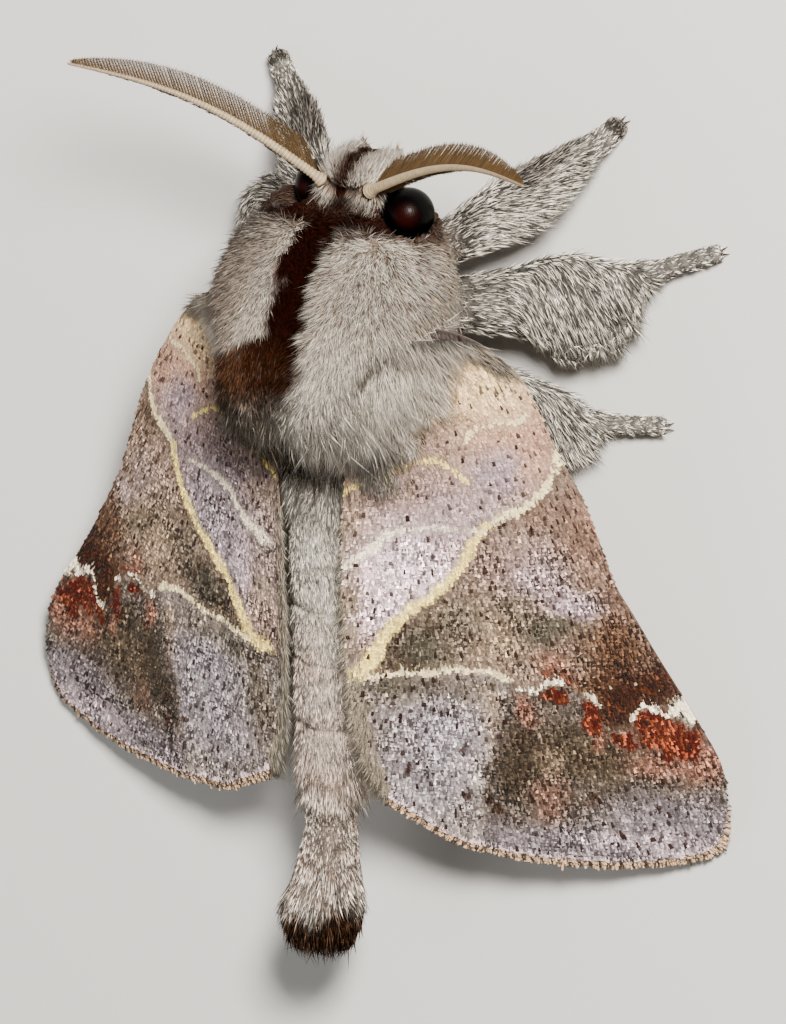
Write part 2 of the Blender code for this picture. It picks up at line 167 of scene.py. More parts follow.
# How far under the solids the skin lies, which leaves room for the coat.
COAT_DEPTH = {"head": 0.2, "thorax": 0.36, "abdomen": 0.15, "tail": 0.2}
PATCH = 0.003  # across each tuft's place on the unwrap


# How bright a surface looks in the studio, 0 to 255, and the light that it must give off for that.
LOOKS = (0, 20, 33, 48, 87, 136, 165, 184, 196, 215, 232)
GLOWS = (0.0003, 0.0022, 0.007, 0.021, 0.08, 0.188, 0.352, 0.578, 0.83, 1.5, 2.6)
KEY_LEVEL = 1.9


def colour(red, green, blue):
    """A surface colour from how it is to look in the studio's key light, 0 to 255."""
    glow = np.exp(np.interp((red, green, blue), LOOKS, np.log(GLOWS)))
    return np.clip(glow / KEY_LEVEL, 0.0002, 0.86)


# ---------------------------------------------------------------- frames, curves and soft variation


def on_body(r, b, u):
    """Places given in the body's frame: to the moth's right, tailward along the back, out of the back."""
    r, b, u = np.broadcast_arrays(*(np.asarray(v, float) for v in (r, b, u)))
    rise, level = math.sin(PITCH), math.cos(PITCH)
    return np.stack((-r, b * level + u * rise - MIDDLE, BACK_HEIGHT + u * level - b * rise), axis=-1)


def along_body(r, b, u):
    """Directions given in the body's frame."""
    return on_body(r, b, u) - on_body(0, 0, 0)


def in_body(places):
    """The body frame's (right, tailward, out) of places."""
    rise, level = math.sin(PITCH), math.cos(PITCH)
    y, z = places[:, 1] + MIDDLE, places[:, 2] - BACK_HEIGHT
    return -places[:, 0], y * level - z * rise, y * rise + z * level


def over_floor(r, y, z):
    """Places given over the floor under the body frame's origin."""
    r, y, z = np.broadcast_arrays(*(np.asarray(v, float) for v in (r, y, z)))
    return np.stack((-r, y - MIDDLE, z), axis=-1)


def mirrored(values, side):
    """Body-frame numbers of the moth's right side (1), or the same mirrored to its left (-1)."""
    return np.array(values) * (side, 1, 1)


def unit_rows(rows):
    return rows / np.maximum(np.linalg.norm(rows, axis=-1, keepdims=True), 1e-9)


def ease(values, low=0.0, high=1.0):
    """A smooth step from 0 at low to 1 at high."""
    t = np.clip((np.asarray(values, float) - low) / (high - low), 0, 1)
    return t * t * (3 - 2 * t)


def bell(values, width):
    """1 at 0, falling off smoothly on both sides over that width."""
    return np.exp(-((values / width) ** 2))


def varied(rng, spread, shape):
    """Random factors about 1."""
    return np.exp(rng.normal(0, spread, shape))


def through(rows, steps):
    """Rows of numbers on a smooth curve (Catmull-Rom) through the given ones, steps for each span."""
    rows = np.array(rows, float)
    padded = np.vstack((2 * rows[0] - rows[1], rows, 2 * rows[-1] - rows[-2]))
    t = np.linspace(0, 1, steps, endpoint=False)[:, None]
    found = []
    for before, start, end, after in zip(padded[:-3], padded[1:-2], padded[2:-1], padded[3:]):
        span = (2 * t**2 - t - t**3) * before + (2 - 5 * t**2 + 3 * t**3) * start
        span = span + (t + 4 * t**2 - 3 * t**3) * end + (t**3 - t**2) * after
        found.append(span / 2)
    return np.vstack((*found, rows[-1:]))


def along(rows, share):
    """The rows at those shares of the way along a smooth curve through the given rows."""
    fine = through(rows, 16)
    place = np.clip(share, 0, 1) * (len(fine) - 1)
    return np.stack([np.interp(place, np.arange(len(fine)), column) for column in fine.T], axis=-1)


def noise(places, scale, seed=0):
    """Soft variation from -1 to 1 at rows of coordinates, with scale swings to the unit."""
    places = np.atleast_2d(places) * scale + 7.3 * (seed + 1)
    low = np.floor(places).astype(np.int64)
    t = places - low
    t = t * t * (3 - 2 * t)
    primes = np.array((73856093, 19349663, 83492791))[: places.shape[1]]
    total = np.zeros(len(places))
    for corner in itertools.product((0, 1), repeat=places.shape[1]):
        mixed = ((low + corner) * primes).sum(1) + seed * 2654435761
        mixed = (mixed ^ (mixed >> 13)) * 1274126177 & 0xFFFFFFFF
        mixed = (mixed ^ (mixed >> 16)) & 0xFFFF
        total += (mixed / 32767.5 - 1) * np.prod(np.where(corner, t, 1 - t), axis=1)
    return total


def line_distance(points, line):
    """How far each plan point lies from a line of points, and the share of the line at its nearest place."""
    spans = line[1:] - line[:-1]
    best = np.full(len(points), 1e9)
    share = np.zeros(len(points))
    for i, (start, span) in enumerate(zip(line[:-1], spans)):
        t = np.clip((points - start) @ span / max(span @ span, 1e-9), 0, 1)
        gap = np.linalg.norm(points - start - t[:, None] * span, axis=1)
        closer = gap < best
        best[closer] = gap[closer]
        share[closer] = (i + t[closer]) / len(spans)
    return best, share


def inside(points, outline):
    """Whether each plan point lies inside a closed outline."""
    within = np.zeros(len(points), bool)
    x, y = points.T
    for (x1, y1), (x2, y2) in zip(outline, np.roll(outline, -1, axis=0)):
        if y1 == y2:
            continue
        crosses = (y1 > y) != (y2 > y)
        within ^= crosses & (x < (x2 - x1) * (y - y1) / (y2 - y1) + x1)
    return within


def toward(base, goal, share):
    """Rows of colours taken some share of the way to a goal colour."""
    return base + (np.asarray(goal) - base) * np.asarray(share)[:, None]


def evenly(values, count):
    """The same values for every one of that many rows."""
    return np.tile(values, (count, 1))


def layered(tint, tip, layers):
    """Tints and tips taken through layers of a share, the tint's goal and strength, and the tip's."""
    for share, tint_goal, tint_strength, tip_goal, tip_strength in layers:
        tint = toward(tint, tint_goal, tint_strength * share)
        tip = toward(tip, tip_goal, tip_strength * share)
    return tint, tip


# ---------------------------------------------------------------- node trees


def add(tree, kind, settings=None, inputs=None):
    """A node with its settings, and with each input set to a value or linked to a socket."""
    made = tree.nodes.new(kind)
    for name, value in (settings or {}).items():
        setattr(made, name, value)
    for name, value in (inputs or {}).items():
        if isinstance(value, bpy.types.NodeSocket):
            tree.links.new(value, made.inputs[name])
        else:
            made.inputs[name].default_value = value
    return made


def calculate(tree, operation, *values):
    return add(tree, "ShaderNodeMath", {"operation": operation}, dict(enumerate(values))).outputs[0]


def stored(tree, geometry, name, value, kind, domain="POINT"):
    settings = {"data_type": kind, "domain": domain}
    inputs = {"Geometry": geometry, "Name": name, "Value": value}
    return add(tree, "GeometryNodeStoreNamedAttribute", settings, inputs).outputs["Geometry"]


def named(tree, name, kind="FLOAT_VECTOR"):
    found = add(tree, "GeometryNodeInputNamedAttribute", {"data_type": kind}, {"Name": name})
    return found.outputs["Attribute"]


# Each tuft shape: its share of the curl and of the sway, which gives a coat its unevenness.
TUFT_SHAPES = ((0.5, 0.6), (1.0, -0.5), (1.5, 0.2), (0.1, -0.2))
TREE_INPUTS = {
    "NodeSocketInt": ("Sides", "Segments", "Seed"),
    "NodeSocketFloat": ("Root radius", "Tip radius", "Swell", "Curl", "Sway"),
    "NodeSocketBool": ("Smooth",),
    "NodeSocketMaterial": ("Material",),
}


def tuft_tree():
    """The tree that stands a tuft, scale, branch or fringe hair at every root it is given."""
    tree = bpy.data.node_groups.new("tufts", "GeometryNodeTree")
    tree.interface.new_socket("Geometry", in_out="INPUT", socket_type="NodeSocketGeometry")
    for kind, names in TREE_INPUTS.items():
        for name in names:
            tree.interface.new_socket(name, in_out="INPUT", socket_type=kind)
    tree.interface.new_socket("Geometry", in_out="OUTPUT", socket_type="NodeSocketGeometry")
    given = tree.nodes.new("NodeGroupInput").outputs
    shapes = tree.nodes.new("GeometryNodeJoinGeometry")
    for curl_share, sway_share in TUFT_SHAPES:
        inputs = {
            "Vertices": given["Sides"],
            "Side Segments": given["Segments"],
            "Radius Bottom": given["Root radius"],
            "Radius Top": given["Tip radius"],
            "Depth": 1.0,
        }
        cone = add(tree, "GeometryNodeMeshCone", {"fill_type": "NGON"}, inputs)
        position = tree.nodes.new("GeometryNodeInputPosition").outputs[0]
        across, aside, up = add(tree, "ShaderNodeSeparateXYZ", None, {0: position}).outputs
        rest = calculate(tree, "MULTIPLY", up, calculate(tree, "SUBTRACT", 1.0, up))
        girth = calculate(tree, "MULTIPLY_ADD", rest, given["Swell"], 1.0)
        bend = calculate(tree, "MULTIPLY", up, up)
        bent = {2: up}
        for axis, flat, swing, share in ((0, across, "Curl", -curl_share), (1, aside, "Sway", sway_share)):
            swung = calculate(tree, "MULTIPLY", calculate(tree, "MULTIPLY", bend, given[swing]), share)
            bent[axis] = calculate(tree, "MULTIPLY_ADD", flat, girth, swung)
        place = add(tree, "ShaderNodeCombineXYZ", None, bent).outputs[0]
        shape = stored(tree, cone.outputs["Mesh"], "along", up, "FLOAT")
        shape = stored(tree, shape, "patch", cone.outputs["UV Map"], "FLOAT2", "CORNER")
        shape = add(tree, "GeometryNodeSetPosition", None, {"Geometry": shape, "Position": place}).outputs[0]
        shape = add(tree, "GeometryNodeGeometryToInstance", None, {0: shape}).outputs[0]
        tree.links.new(shape, shapes.inputs[0])
    limits = {4: 0, 5: len(TUFT_SHAPES) - 1, 8: given["Seed"]}
    pick = add(tree, "FunctionNodeRandomValue", {"data_type": "INT"}, limits)
    turn = "FunctionNodeAlignRotationToVector"
    lie = add(tree, turn, {"axis": "Z"}, {"Vector": named(tree, "lie")}).outputs[0]
    settings = {"axis": "X", "pivot_axis": "Z"}
    facing = add(tree, turn, settings, {"Rotation": lie, "Vector": named(tree, "out")}).outputs[0]
    inputs = {
        "Points": given["Geometry"],
        "Instance": shapes.outputs[0],
        "Pick Instance": True,
        "Instance Index": pick.outputs[2],
        "Rotation": facing,
        "Scale": named(tree, "size"),
    }
    coat = add(tree, "GeometryNodeInstanceOnPoints", None, inputs).outputs[0]
    coat = add(tree, "GeometryNodeRealizeInstances", None, {"Geometry": coat}).outputs[0]
    patch = {0: named(tree, "patch"), "Scale": PATCH}
    patch = add(tree, "ShaderNodeVectorMath", {"operation": "SCALE"}, patch).outputs[0]
    patch = {0: named(tree, "uv"), 1: patch}
    patch = add(tree, "ShaderNodeVectorMath", {"operation": "ADD"}, patch).outputs[0]
    coat = stored(tree, coat, "OFBake", patch, "FLOAT2", "CORNER")
    inputs = {"Geometry": coat, "Shade Smooth": given["Smooth"]}
    coat = add(tree, "GeometryNodeSetShadeSmooth", None, inputs).outputs[0]
    inputs = {"Geometry": coat, "Material": given["Material"]}
    coat = add(tree, "GeometryNodeSetMaterial", None, inputs).outputs[0]
    add(tree, "NodeGroupOutput", None, {"Geometry": coat})
    return tree


# Tuft forms: these inputs of the tree, then how many triangles one such tuft has.
FORM_INPUTS = ("Sides", "Segments", "Root radius", "Tip radius", "Swell", "Curl", "Sway")
FORMS = {
    "HAIR": (3, 2, 0.5, 0.0, 1.6, 4.0, 3.0, 10),
    "SPIKE": (3, 1, 0.55, 0.0, 0.0, 4.0, 3.0, 4),
    "SCALE": (4, 1, 0.0, 0.5, 0.0, 0.6, 0.3, 6),
    "SPOT": (4, 1, 0.32, 0.5, 0.0, 0.2, 0.3, 12),
    "BRANCH": (4, 5, 0.5, 0.12, 0.3, 0.0, 0.0, 44),
    "BRISTLE": (3, 1, 0.5, 0.0, 0.0, 0.0, 0.0, 4),
}
FLAT_FORMS = ("SCALE", "SPOT")
# What every root tells its tuft, beside its place.
ROOT_LAYERS = {
    "lie": "FLOAT_VECTOR",
    "out": "FLOAT_VECTOR",
    "tint": "FLOAT_COLOR",
    "tip": "FLOAT_COLOR",
    "size": "FLOAT_VECTOR",
    "uv": "FLOAT2",
}
MOST_FACES = 196000  # in one piece of coat
VALUE_NAMES = {"FLOAT_VECTOR": "vector", "FLOAT2": "vector", "FLOAT_COLOR": "color"}


def attribute(data, name, kind, values, domain="POINT"):
    values = np.asarray(values, np.float32)
    if kind == "FLOAT_COLOR":
        values = np.column_stack((values, np.ones(len(values), np.float32)))
    made = data.attributes.new(name, kind, domain)
    made.data.foreach_set(VALUE_NAMES[kind], np.ascontiguousarray(values).ravel())


def gathered(items, name, width, kind=np.float32):
    """One value of every item of a mesh, as rows."""
    values = np.empty(len(items) * width, kind)
    items.foreach_get(name, values)
    return values.reshape(-1, width)


def put_at(data, places):
    """Moves a mesh's points to places given in units."""
    data.vertices.foreach_set("co", (places * UNIT).astype(np.float32).ravel())


def saved(mesh, name):
    """The mesh of that name that an edited one becomes."""
    data = bpy.data.meshes.new(name)
    mesh.to_mesh(data)
    mesh.free()
    return data


def placed(name, data, materials=()):
    """An object in the scene for a finished mesh."""
    for one in materials:
        data.materials.append(one)
    made = bpy.data.objects.new(name, data)
    bpy.context.scene.collection.objects.link(made)
    return made


def belongs(piece, slot, *nodes):
    """Puts a finished piece on the moth's one body, in place of the solids it stands for."""
    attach(piece, "root")
    if nodes:
        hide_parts(*nodes)


def evaluated(piece):
    """The plain mesh that an object's modifiers make. The object itself is removed."""
    graph = bpy.context.evaluated_depsgraph_get()
    source = piece.data
    shaped = piece.evaluated_get(graph)
    data = bpy.data.meshes.new_from_object(shaped, preserve_all_data_layers=True, depsgraph=graph)
    bpy.data.objects.remove(piece)
    bpy.data.meshes.remove(source)
    return data


def grow(name, form, roots, finish, slot):
    """Grows a coat on the given roots, in pieces that each have fewer triangles than a piece may have."""
    count = len(roots["place"])
    *shape, triangles = FORMS[form]
    parts = math.ceil(count * triangles / MOST_FACES)
    for part in range(parts):
        chosen = np.arange(part, count, parts)
        label = name if parts == 1 else f"{name}_{part + 1}"
        data = bpy.data.meshes.new(label + "_roots")
        data.vertices.add(len(chosen))
        put_at(data, roots["place"][chosen])
        for key, kind in ROOT_LAYERS.items():
            attribute(data, key, kind, roots[key][chosen] * (UNIT if key == "size" else 1))
        piece = placed(label + "_roots", data)
        modifier = piece.modifiers.new("tufts", "NODES")
        modifier.node_group = TUFTS
        values = dict(zip(FORM_INPUTS, shape))
        values.update({"Seed": SEED + part, "Smooth": form not in FLAT_FORMS, "Material": finish})
        for socket in TUFTS.interface.items_tree:
            if socket.in_out == "INPUT" and socket.name in values:
                modifier[socket.identifier] = values[socket.name]
        made = evaluated(piece)
        made.name = label
        for spare in ("lie", "out", "size", "uv", "patch"):
            if spare in made.attributes:
                made.attributes.remove(made.attributes[spare])
        points = gathered(made.vertices, "co", 3)
        points[:, 2] = np.maximum(points[:, 2], 0)
        made.vertices.foreach_set("co", points.ravel())
        belongs(placed(label, made), slot)


# ---------------------------------------------------------------- finishes


def finish_tree(name, roughness, gloss=0.5, sheen=0.0):
    """A new finish, its tree and its surface."""
    made = bpy.data.materials.new(name)
    made.use_nodes = True
    tree = made.node_tree
    tree.nodes.clear()
    surface = tree.nodes.new("ShaderNodeBsdfPrincipled")
    surface.inputs["Roughness"].default_value = roughness
    surface.inputs["Specular IOR Level"].default_value = gloss
    surface.inputs["Sheen Weight"].default_value = sheen
    add(tree, "ShaderNodeOutputMaterial", None, {"Surface": surface.outputs[0]})
    return made, tree, surface


def seen(tree, name, output="Color"):
    return add(tree, "ShaderNodeAttribute", {"attribute_name": name}).outputs[output]


def mixed(tree, kind, share, one, other):
    settings = {"data_type": "RGBA", "blend_type": kind}
    return add(tree, "ShaderNodeMix", settings, {0: share, 6: one, 7: other}).outputs[2]


def grain(tree, per_unit, detail=3.0, stretch=(1, 1, 1)):
    """Fine variation over the object, with that many swings to a unit."""
    place = tree.nodes.new("ShaderNodeTexCoord").outputs["Object"]
    inputs = {"Vector": place, "Scale": [one / UNIT for one in stretch]}
    place = add(tree, "ShaderNodeMapping", None, inputs).outputs[0]
    inputs = {"Vector": place, "Scale": per_unit, "Detail": detail, "Roughness": 0.6}
    return add(tree, "ShaderNodeTexNoise", None, inputs).outputs["Fac"]


def ramp(tree, value, stops):
    """A value turned into greys: stops of (value, grey)."""
    made = add(tree, "ShaderNodeValToRGB", None, {"Fac": value})
    elements = made.color_ramp.elements
    while len(elements) < len(stops):
        elements.new(0.5)
    for element, (place, grey) in zip(elements, stops):
        element.position = place
        element.color = (grey, grey, grey, 1)
    return made.outputs["Color"]


def raised(tree, surface, height, depth, strength=0.6):
    inputs = {"Height": height, "Distance": depth * UNIT, "Strength": strength}
    tree.links.new(add(tree, "ShaderNodeBump", None, inputs).outputs[0], surface.inputs["Normal"])


def tinted(tree, surface, tint, close, greys):
    """Gives a surface its tint, varied between two greys by its grain."""
    shade = ramp(tree, close, tuple(zip((0.3, 0.7), greys)))
    tree.links.new(mixed(tree, "MULTIPLY", 1.0, tint, shade), surface.inputs["Base Color"])


def hair_finish(name, painted_root_shade, roughness=0.6, sheen=0.04, gloss=0.15, tip_from=0.35):
    """Hair darkened toward its root with painted shade for the depth of the coat, and with its own pale or
    dark tip.
    """
    made, tree, surface = finish_tree(name, roughness, gloss, sheen)
    along_hair = seen(tree, "along", "Fac")
    # painted shade: each hair darkens toward its root, for the shade deep in the coat
    shaded = ramp(tree, along_hair, ((0.0, painted_root_shade), (0.45, 1.0)))
    body = mixed(tree, "MULTIPLY", 1.0, seen(tree, "tint"), shaded)
    tipped = ramp(tree, along_hair, ((tip_from, 0.0), (tip_from + 0.6, 1.0)))
    tinted(tree, surface, mixed(tree, "MIX", tipped, body, seen(tree, "tip")), grain(tree, 9.0), (0.86, 1.12))
    return made


def scale_finish(name):
    """Wing scales: dull pigment with a faint silky gloss."""
    made, tree, surface = finish_tree(name, 0.6, 0.12, 0.04)
    tipped = ramp(tree, seen(tree, "along", "Fac"), ((0.5, 0.0), (1.0, 1.0)))
    tint = mixed(tree, "MIX", tipped, seen(tree, "tint"), seen(tree, "tip"))
    tinted(tree, surface, tint, grain(tree, 16.0), (0.85, 1.15))
    return made


def grained_finish(name, close, greys, depth, *sheens, base=None):
    """A finish whose grain, (swings to a unit, detail, stretch), shades its tint and stands up as relief."""
    made, tree, surface = finish_tree(name, *sheens)
    close = grain(tree, *close)
    tinted(tree, surface, seen(tree, "tint") if base is None else (*base, 1), close, greys)
    raised(tree, surface, close, depth)
    return made


def eye_finish():
    """A wet-looking dark eye with fine facets."""
    made, tree, surface = finish_tree("faceted_eye", 0.35, 0.04)
    tree.links.new(seen(tree, "tint"), surface.inputs["Base Color"])
    place = tree.nodes.new("ShaderNodeTexCoord").outputs["Object"]
    inputs = {"Vector": place, "Scale": 22 / UNIT, "Randomness": 0.35}
    facets = add(tree, "ShaderNodeTexVoronoi", None, inputs)
    raised(tree, surface, facets.outputs["Distance"], -0.012, 0.35)
    surface.inputs["Coat Weight"].default_value = 0.02
    surface.inputs["Coat Roughness"].default_value = 0.15
    return made


# ---------------------------------------------------------------- the skin

HEAD_NODES = ("head", "palp_left", "palp_right")
FLESH = [*HEAD_NODES, "thorax", "tegula_left", "tegula_right"]
FLESH += [*(f"abdomen_segment_{number}" for number in range(1, 8)), "tail_tuft"]
FLESH += [f"leg_{leg}_{part}" for leg in LEGS for part in ("femur", "tibia", "tarsus")]
REGIONS = ("head", "thorax", "abdomen", "tail", *LEGS)
FIRST_LEG = REGIONS.index("front_right")


def region_of(node):
    if node.startswith("leg_"):
        return node[4:].rsplit("_", 1)[0]
    if node.startswith("abdomen"):
        return "abdomen"
    if node in HEAD_NODES:
        return "head"
    return "tail" if node == "tail_tuft" else "thorax"


def flesh_copy(swell):
    """The flesh solids as one mesh, each grown a little so that they meet; and each face's region."""
    points, faces, owners = [], [], []
    for node in FLESH:
        mesh = bmesh.new()
        mesh.from_mesh(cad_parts[node].data)
        bmesh.ops.remove_doubles(mesh, verts=mesh.verts, dist=1e-7)
        mesh.normal_update()
        start = len(points)
        for vertex in mesh.verts:
            points.append(vertex.co / UNIT + vertex.normal * swell)
        for face in mesh.faces:
            faces.append([start + vertex.index for vertex in face.verts])
            owners.append(REGIONS.index(region_of(node)))
        mesh.free()
    return points, faces, owners


def mesh_arrays(data):
    """A mesh's points, its edges and its triangles."""
    data.calc_loop_triangles()
    edges = gathered(data.edges, "vertices", 2, np.int32)
    triangles = gathered(data.loop_triangles, "vertices", 3, np.int32)
    return gathered(data.vertices, "co", 3).astype(float), edges, triangles


def normals_of(points, triangles):
    a, b, c = (points[triangles[:, i]] for i in range(3))
    square = np.cross(b - a, c - a)
    total = np.zeros_like(points)
    for i in range(3):
        for axis in range(3):
            total[:, axis] += np.bincount(triangles[:, i], square[:, axis], len(points))
    return unit_rows(total)


def eased(values, edges, times, share=0.5):
    """Values at a mesh's points, each moved toward the mean of its neighbours' the given number of times."""
    near, far = np.vstack((edges, edges[:, ::-1])).T
    count = np.maximum(np.bincount(near, minlength=len(values)), 1)[:, None]
    for _ in range(times):
        mean = np.stack([np.bincount(near, column[far], len(values)) for column in values.T], axis=1) / count
        values = values + (mean - values) * share
    return values


def drop_crumbs(data):
    """Keeps the mesh's largest connected shell."""
    mesh = bmesh.new()
    mesh.from_mesh(data)
    left = set(mesh.verts)
    shells = []
    while left:
        shell, edge = set(), [left.pop()]
        while edge:
            vertex = edge.pop()
            shell.add(vertex)
            for link in vertex.link_edges:
                other = link.other_vert(vertex)
                if other in left:
                    left.discard(other)
                    edge.append(other)
        shells.append(shell)
    shells.sort(key=len)
    for shell in shells[:-1]:
        bmesh.ops.delete(mesh, geom=list(shell), context="VERTS")
    mesh.to_mesh(data)
    mesh.free()


def leg_paths():
    """Every leg's middle line, finely, as the rows of LEG_LINE."""
    found = []
    for number, rows in enumerate(LEGS.values()):
        fine = through(rows, 8)
        places = over_floor(*fine[:, :3].T)
        lines = unit_rows(np.gradient(places, axis=0))
        share = np.linspace(0, 1, len(fine))
        found.append(np.column_stack((places, fine[:, 3:], share, lines, np.full(len(fine), number))))
    return np.vstack(found)


LEG_LINE = leg_paths()


def nearest_on_legs(places, leg=None):
    """For each place, the row of LEG_LINE nearest to it, on that leg or on any."""
    rows = LEG_LINE if leg is None else LEG_LINE[LEG_LINE[:, LEG] == leg]
    near = np.empty(len(places), int)
    for block in np.array_split(np.arange(len(places)), len(places) // 4000 + 1):
        near[block] = ((places[block][:, None] - rows[None, :, :3]) ** 2).sum(2).argmin(1)
    return rows[near]


def eye_rooms():
    """The rounded plug that clears each eye's socket, as one mesh in units."""
    mesh = bmesh.new()
    for side in SIDES.values():
        ball = bmesh.ops.create_icosphere(mesh, subdivisions=3, radius=EYE_ROOM)["verts"]
        centre = Vector(on_body(*mirrored(EYE_CENTRE, side)))
        line = Vector(along_body(*mirrored(EYE_VIEW, side))).normalized()
        for vertex in ball:
            ahead = 3 if vertex.co.dot(line) > 0 else 0
            vertex.co += centre + line * ahead
    return placed("eye_rooms", saved(mesh, "eye_rooms"))


def make_skin():
    """The one skin in place of the flesh: its object and the arrays that the coat is sown from."""
    points, faces, owners = flesh_copy(0.08)
    data = bpy.data.meshes.new("flesh")
    data.from_pydata(points, [], faces)
    piece = placed("flesh", data)
    rooms = eye_rooms()
    for name in ("one_shell", "eye_rooms", "new_shell"):
        change = piece.modifiers.new(name, "BOOLEAN" if name == "eye_rooms" else "REMESH")
        if name == "eye_rooms":
            change.object = rooms
            change.operation = "DIFFERENCE"
        else:
            change.mode = "VOXEL"
            change.voxel_size = VOXEL
    data = evaluated(piece)
    bpy.data.objects.remove(rooms)
    drop_crumbs(data)
    places, edges, triangles = mesh_arrays(data)
    tree = BVHTree.FromPolygons(points, faces)
    weights = np.zeros((len(places), len(REGIONS)))
    for i, place in enumerate(places):
        weights[i, owners[tree.find_nearest(Vector(place))[2]]] = 1
    weights = eased(weights, edges, 14)
    weights /= weights.sum(1, keepdims=True)
    on_leg = nearest_on_legs(places)
    depth = sum(weights[:, i] * COAT_DEPTH.get(name, 0) for i, name in enumerate(REGIONS))
    depth += weights[:, FIRST_LEG:].sum(1) * np.clip(on_leg[:, HALF_DEPTH] * 0.25, 0.05, 0.14)
    r, b, u = in_body(places)
    flank = ease(b, -0.4, 0.9) * ease(np.abs(r), 1.9, 3.0) * ease(u, -2.4, -1.0)
    depth += 0.75 * flank * weights[:, REGIONS.index("thorax")]
    behind = np.clip(normals_of(places, triangles)[:, 1], 0, 1)
    on_shin = ease(on_leg[:, SHARE], 0.1, 0.36) * (1 - ease(on_leg[:, SHARE], 0.74, 0.84))
    for number, sweep in enumerate(LEG_SWEEP.values()):
        depth += 0.4 * sweep * behind * weights[:, FIRST_LEG + number] * on_shin
    corner = np.clip(normals_of(places, triangles)[:, :2] @ (-0.75, 0.65), 0, 1)
    knee = ease(on_leg[:, SHARE], 0.48, 0.58) * (1 - ease(on_leg[:, SHARE], 0.72, 0.8))
    depth += 0.32 * corner * knee * weights[:, REGIONS.index("mid_right")]
    depth += 0.17 * weights[:, REGIONS.index("tail")] * ease(b, 13.8, 14.6) * (1 - ease(b, 15.9, 16.8))
    depth *= 0.35 + 0.65 * ease(eye_distance(r, b, u), 0.8, 1.3)
    depth *= np.clip(places[:, 2] / 0.3, 0.1, 1)
    places = eased(places, edges, 3)
    for _ in range(4):
        places -= normals_of(places, triangles) * depth[:, None] / 4
        places = eased(places, edges, 1, 0.3)
    places[:, 2] = np.maximum(places[:, 2], 0.02)
    put_at(data, places)
    data.update()
    skin = placed("skin", data)
    unwrap(skin)
    corners = gathered(data.loop_triangles, "loops", 3, np.int32)
    flat = gathered(data.uv_layers["OFBake"].data, "uv", 2)
    sown = {
        "places": places,
        "normals": normals_of(places, triangles),
        "triangles": triangles,
        "weights": weights,
        "uv": flat[corners],
    }
    return skin, sown


def unwrap(piece):
    """A flat layout of the piece's own surface, named OFBake."""
    data = piece.data
    data.uv_layers.new(name="OFBake")
    bpy.context.view_layer.objects.active = piece
    piece.select_set(True)
    bpy.ops.object.mode_set(mode="EDIT")
    bpy.ops.mesh.select_all(action="SELECT")
    bpy.ops.uv.smart_project(angle_limit=math.radians(75), island_margin=0.001)
    bpy.ops.object.mode_set(mode="OBJECT")
    piece.select_set(False)
    data.calc_loop_triangles()


def scatter(sown, region, count, rng, density=None):
    """Roots spread over a region of the skin. The density, given (r, b, u), favours some of it."""
    triangles = sown["triangles"]
    corners = sown["places"][triangles]
    area = np.linalg.norm(np.cross(corners[:, 1] - corners[:, 0], corners[:, 2] - corners[:, 0]), axis=1) / 2
    weight = area * sown["weights"][triangles][:, :, REGIONS.index(region)].mean(1)
    if density is not None:
        weight = weight * density(*in_body(corners.mean(1)))
    chosen = rng.choice(len(triangles), count, p=weight / weight.sum())
    split = rng.random((count, 2))
    split = np.where(split.sum(1, keepdims=True) > 1, 1 - split, split)
    share = np.column_stack((1 - split.sum(1), split))[:, :, None]
    return {
        "place": (corners[chosen] * share).sum(1),
        "out": unit_rows((sown["normals"][triangles[chosen]] * share).sum(1)),
        "uv": (sown["uv"][chosen] * share).sum(1),
    }


def laid(lines, outs, rise):
    """Lines brought into the skin, then raised from it by that slope."""
    flat = unit_rows(lines - outs * (lines * outs).sum(1, keepdims=True))
    return unit_rows(flat + outs * rise[:, None])


# ---------------------------------------------------------------- colours of the body

GREY_FUR = colour(198, 188, 177)
BROWN_FUR = colour(148, 126, 106)
PALE_TIP = colour(228, 221, 213)
SNOW_TIP = colour(233, 215, 210)
CREAM_FUR = colour(224, 208, 184)
CHOCOLATE = colour(54, 27, 16)
RUST_BROWN = colour(118, 76, 48)
UMBER = colour(66, 44, 30)
SLATE = colour(78, 71, 67)
MOTTLE = colour(106, 86, 62)
SILVER = colour(216, 210, 203)
ROSY = colour(214, 201, 193)
# How far tailward each joint of the abdomen lies, and how dark it is.
SEGMENT_JOINTS = ((5.5, 0.3), (6.8, 0.5), (8.15, 1.0), (9.7, 1.0), (11.55, 0.6), (13.4, 0.5))


def stripe_share(r, b, places):
    """How much of the thorax's dark mid stripe there is: narrow from the neck, then flared, then lost."""
    stations = (-3.0, -2.0, -1.3, -0.5, -0.15, 0.3, 0.9, 1.6, 2.6)
    half = np.interp(b, stations, (0.58, 0.64, 0.62, 0.7, 0.84, 1.2, 1.22, 1.15, 1.0))
    centre = np.interp(b, stations, (-0.45, -0.28, -0.2, 0.0, -0.14, -0.55, -0.75, -0.85, -1.0))
    edge = half - np.abs(r - centre) + 0.2 * noise(places, 3.5, 3)
    return ease(edge, -0.14 - 0.3 * ease(b, -0.3, 0.8), 0.18) * (1 - ease(b, 0.7, 1.9))


def eye_distance(r, b, u):
    """How far places lie from the middle of the nearer eye."""
    centre = np.array(EYE_CENTRE)
    return np.sqrt((np.abs(r) - centre[0]) ** 2 + (b - centre[1]) ** 2 + (u - centre[2]) ** 2)


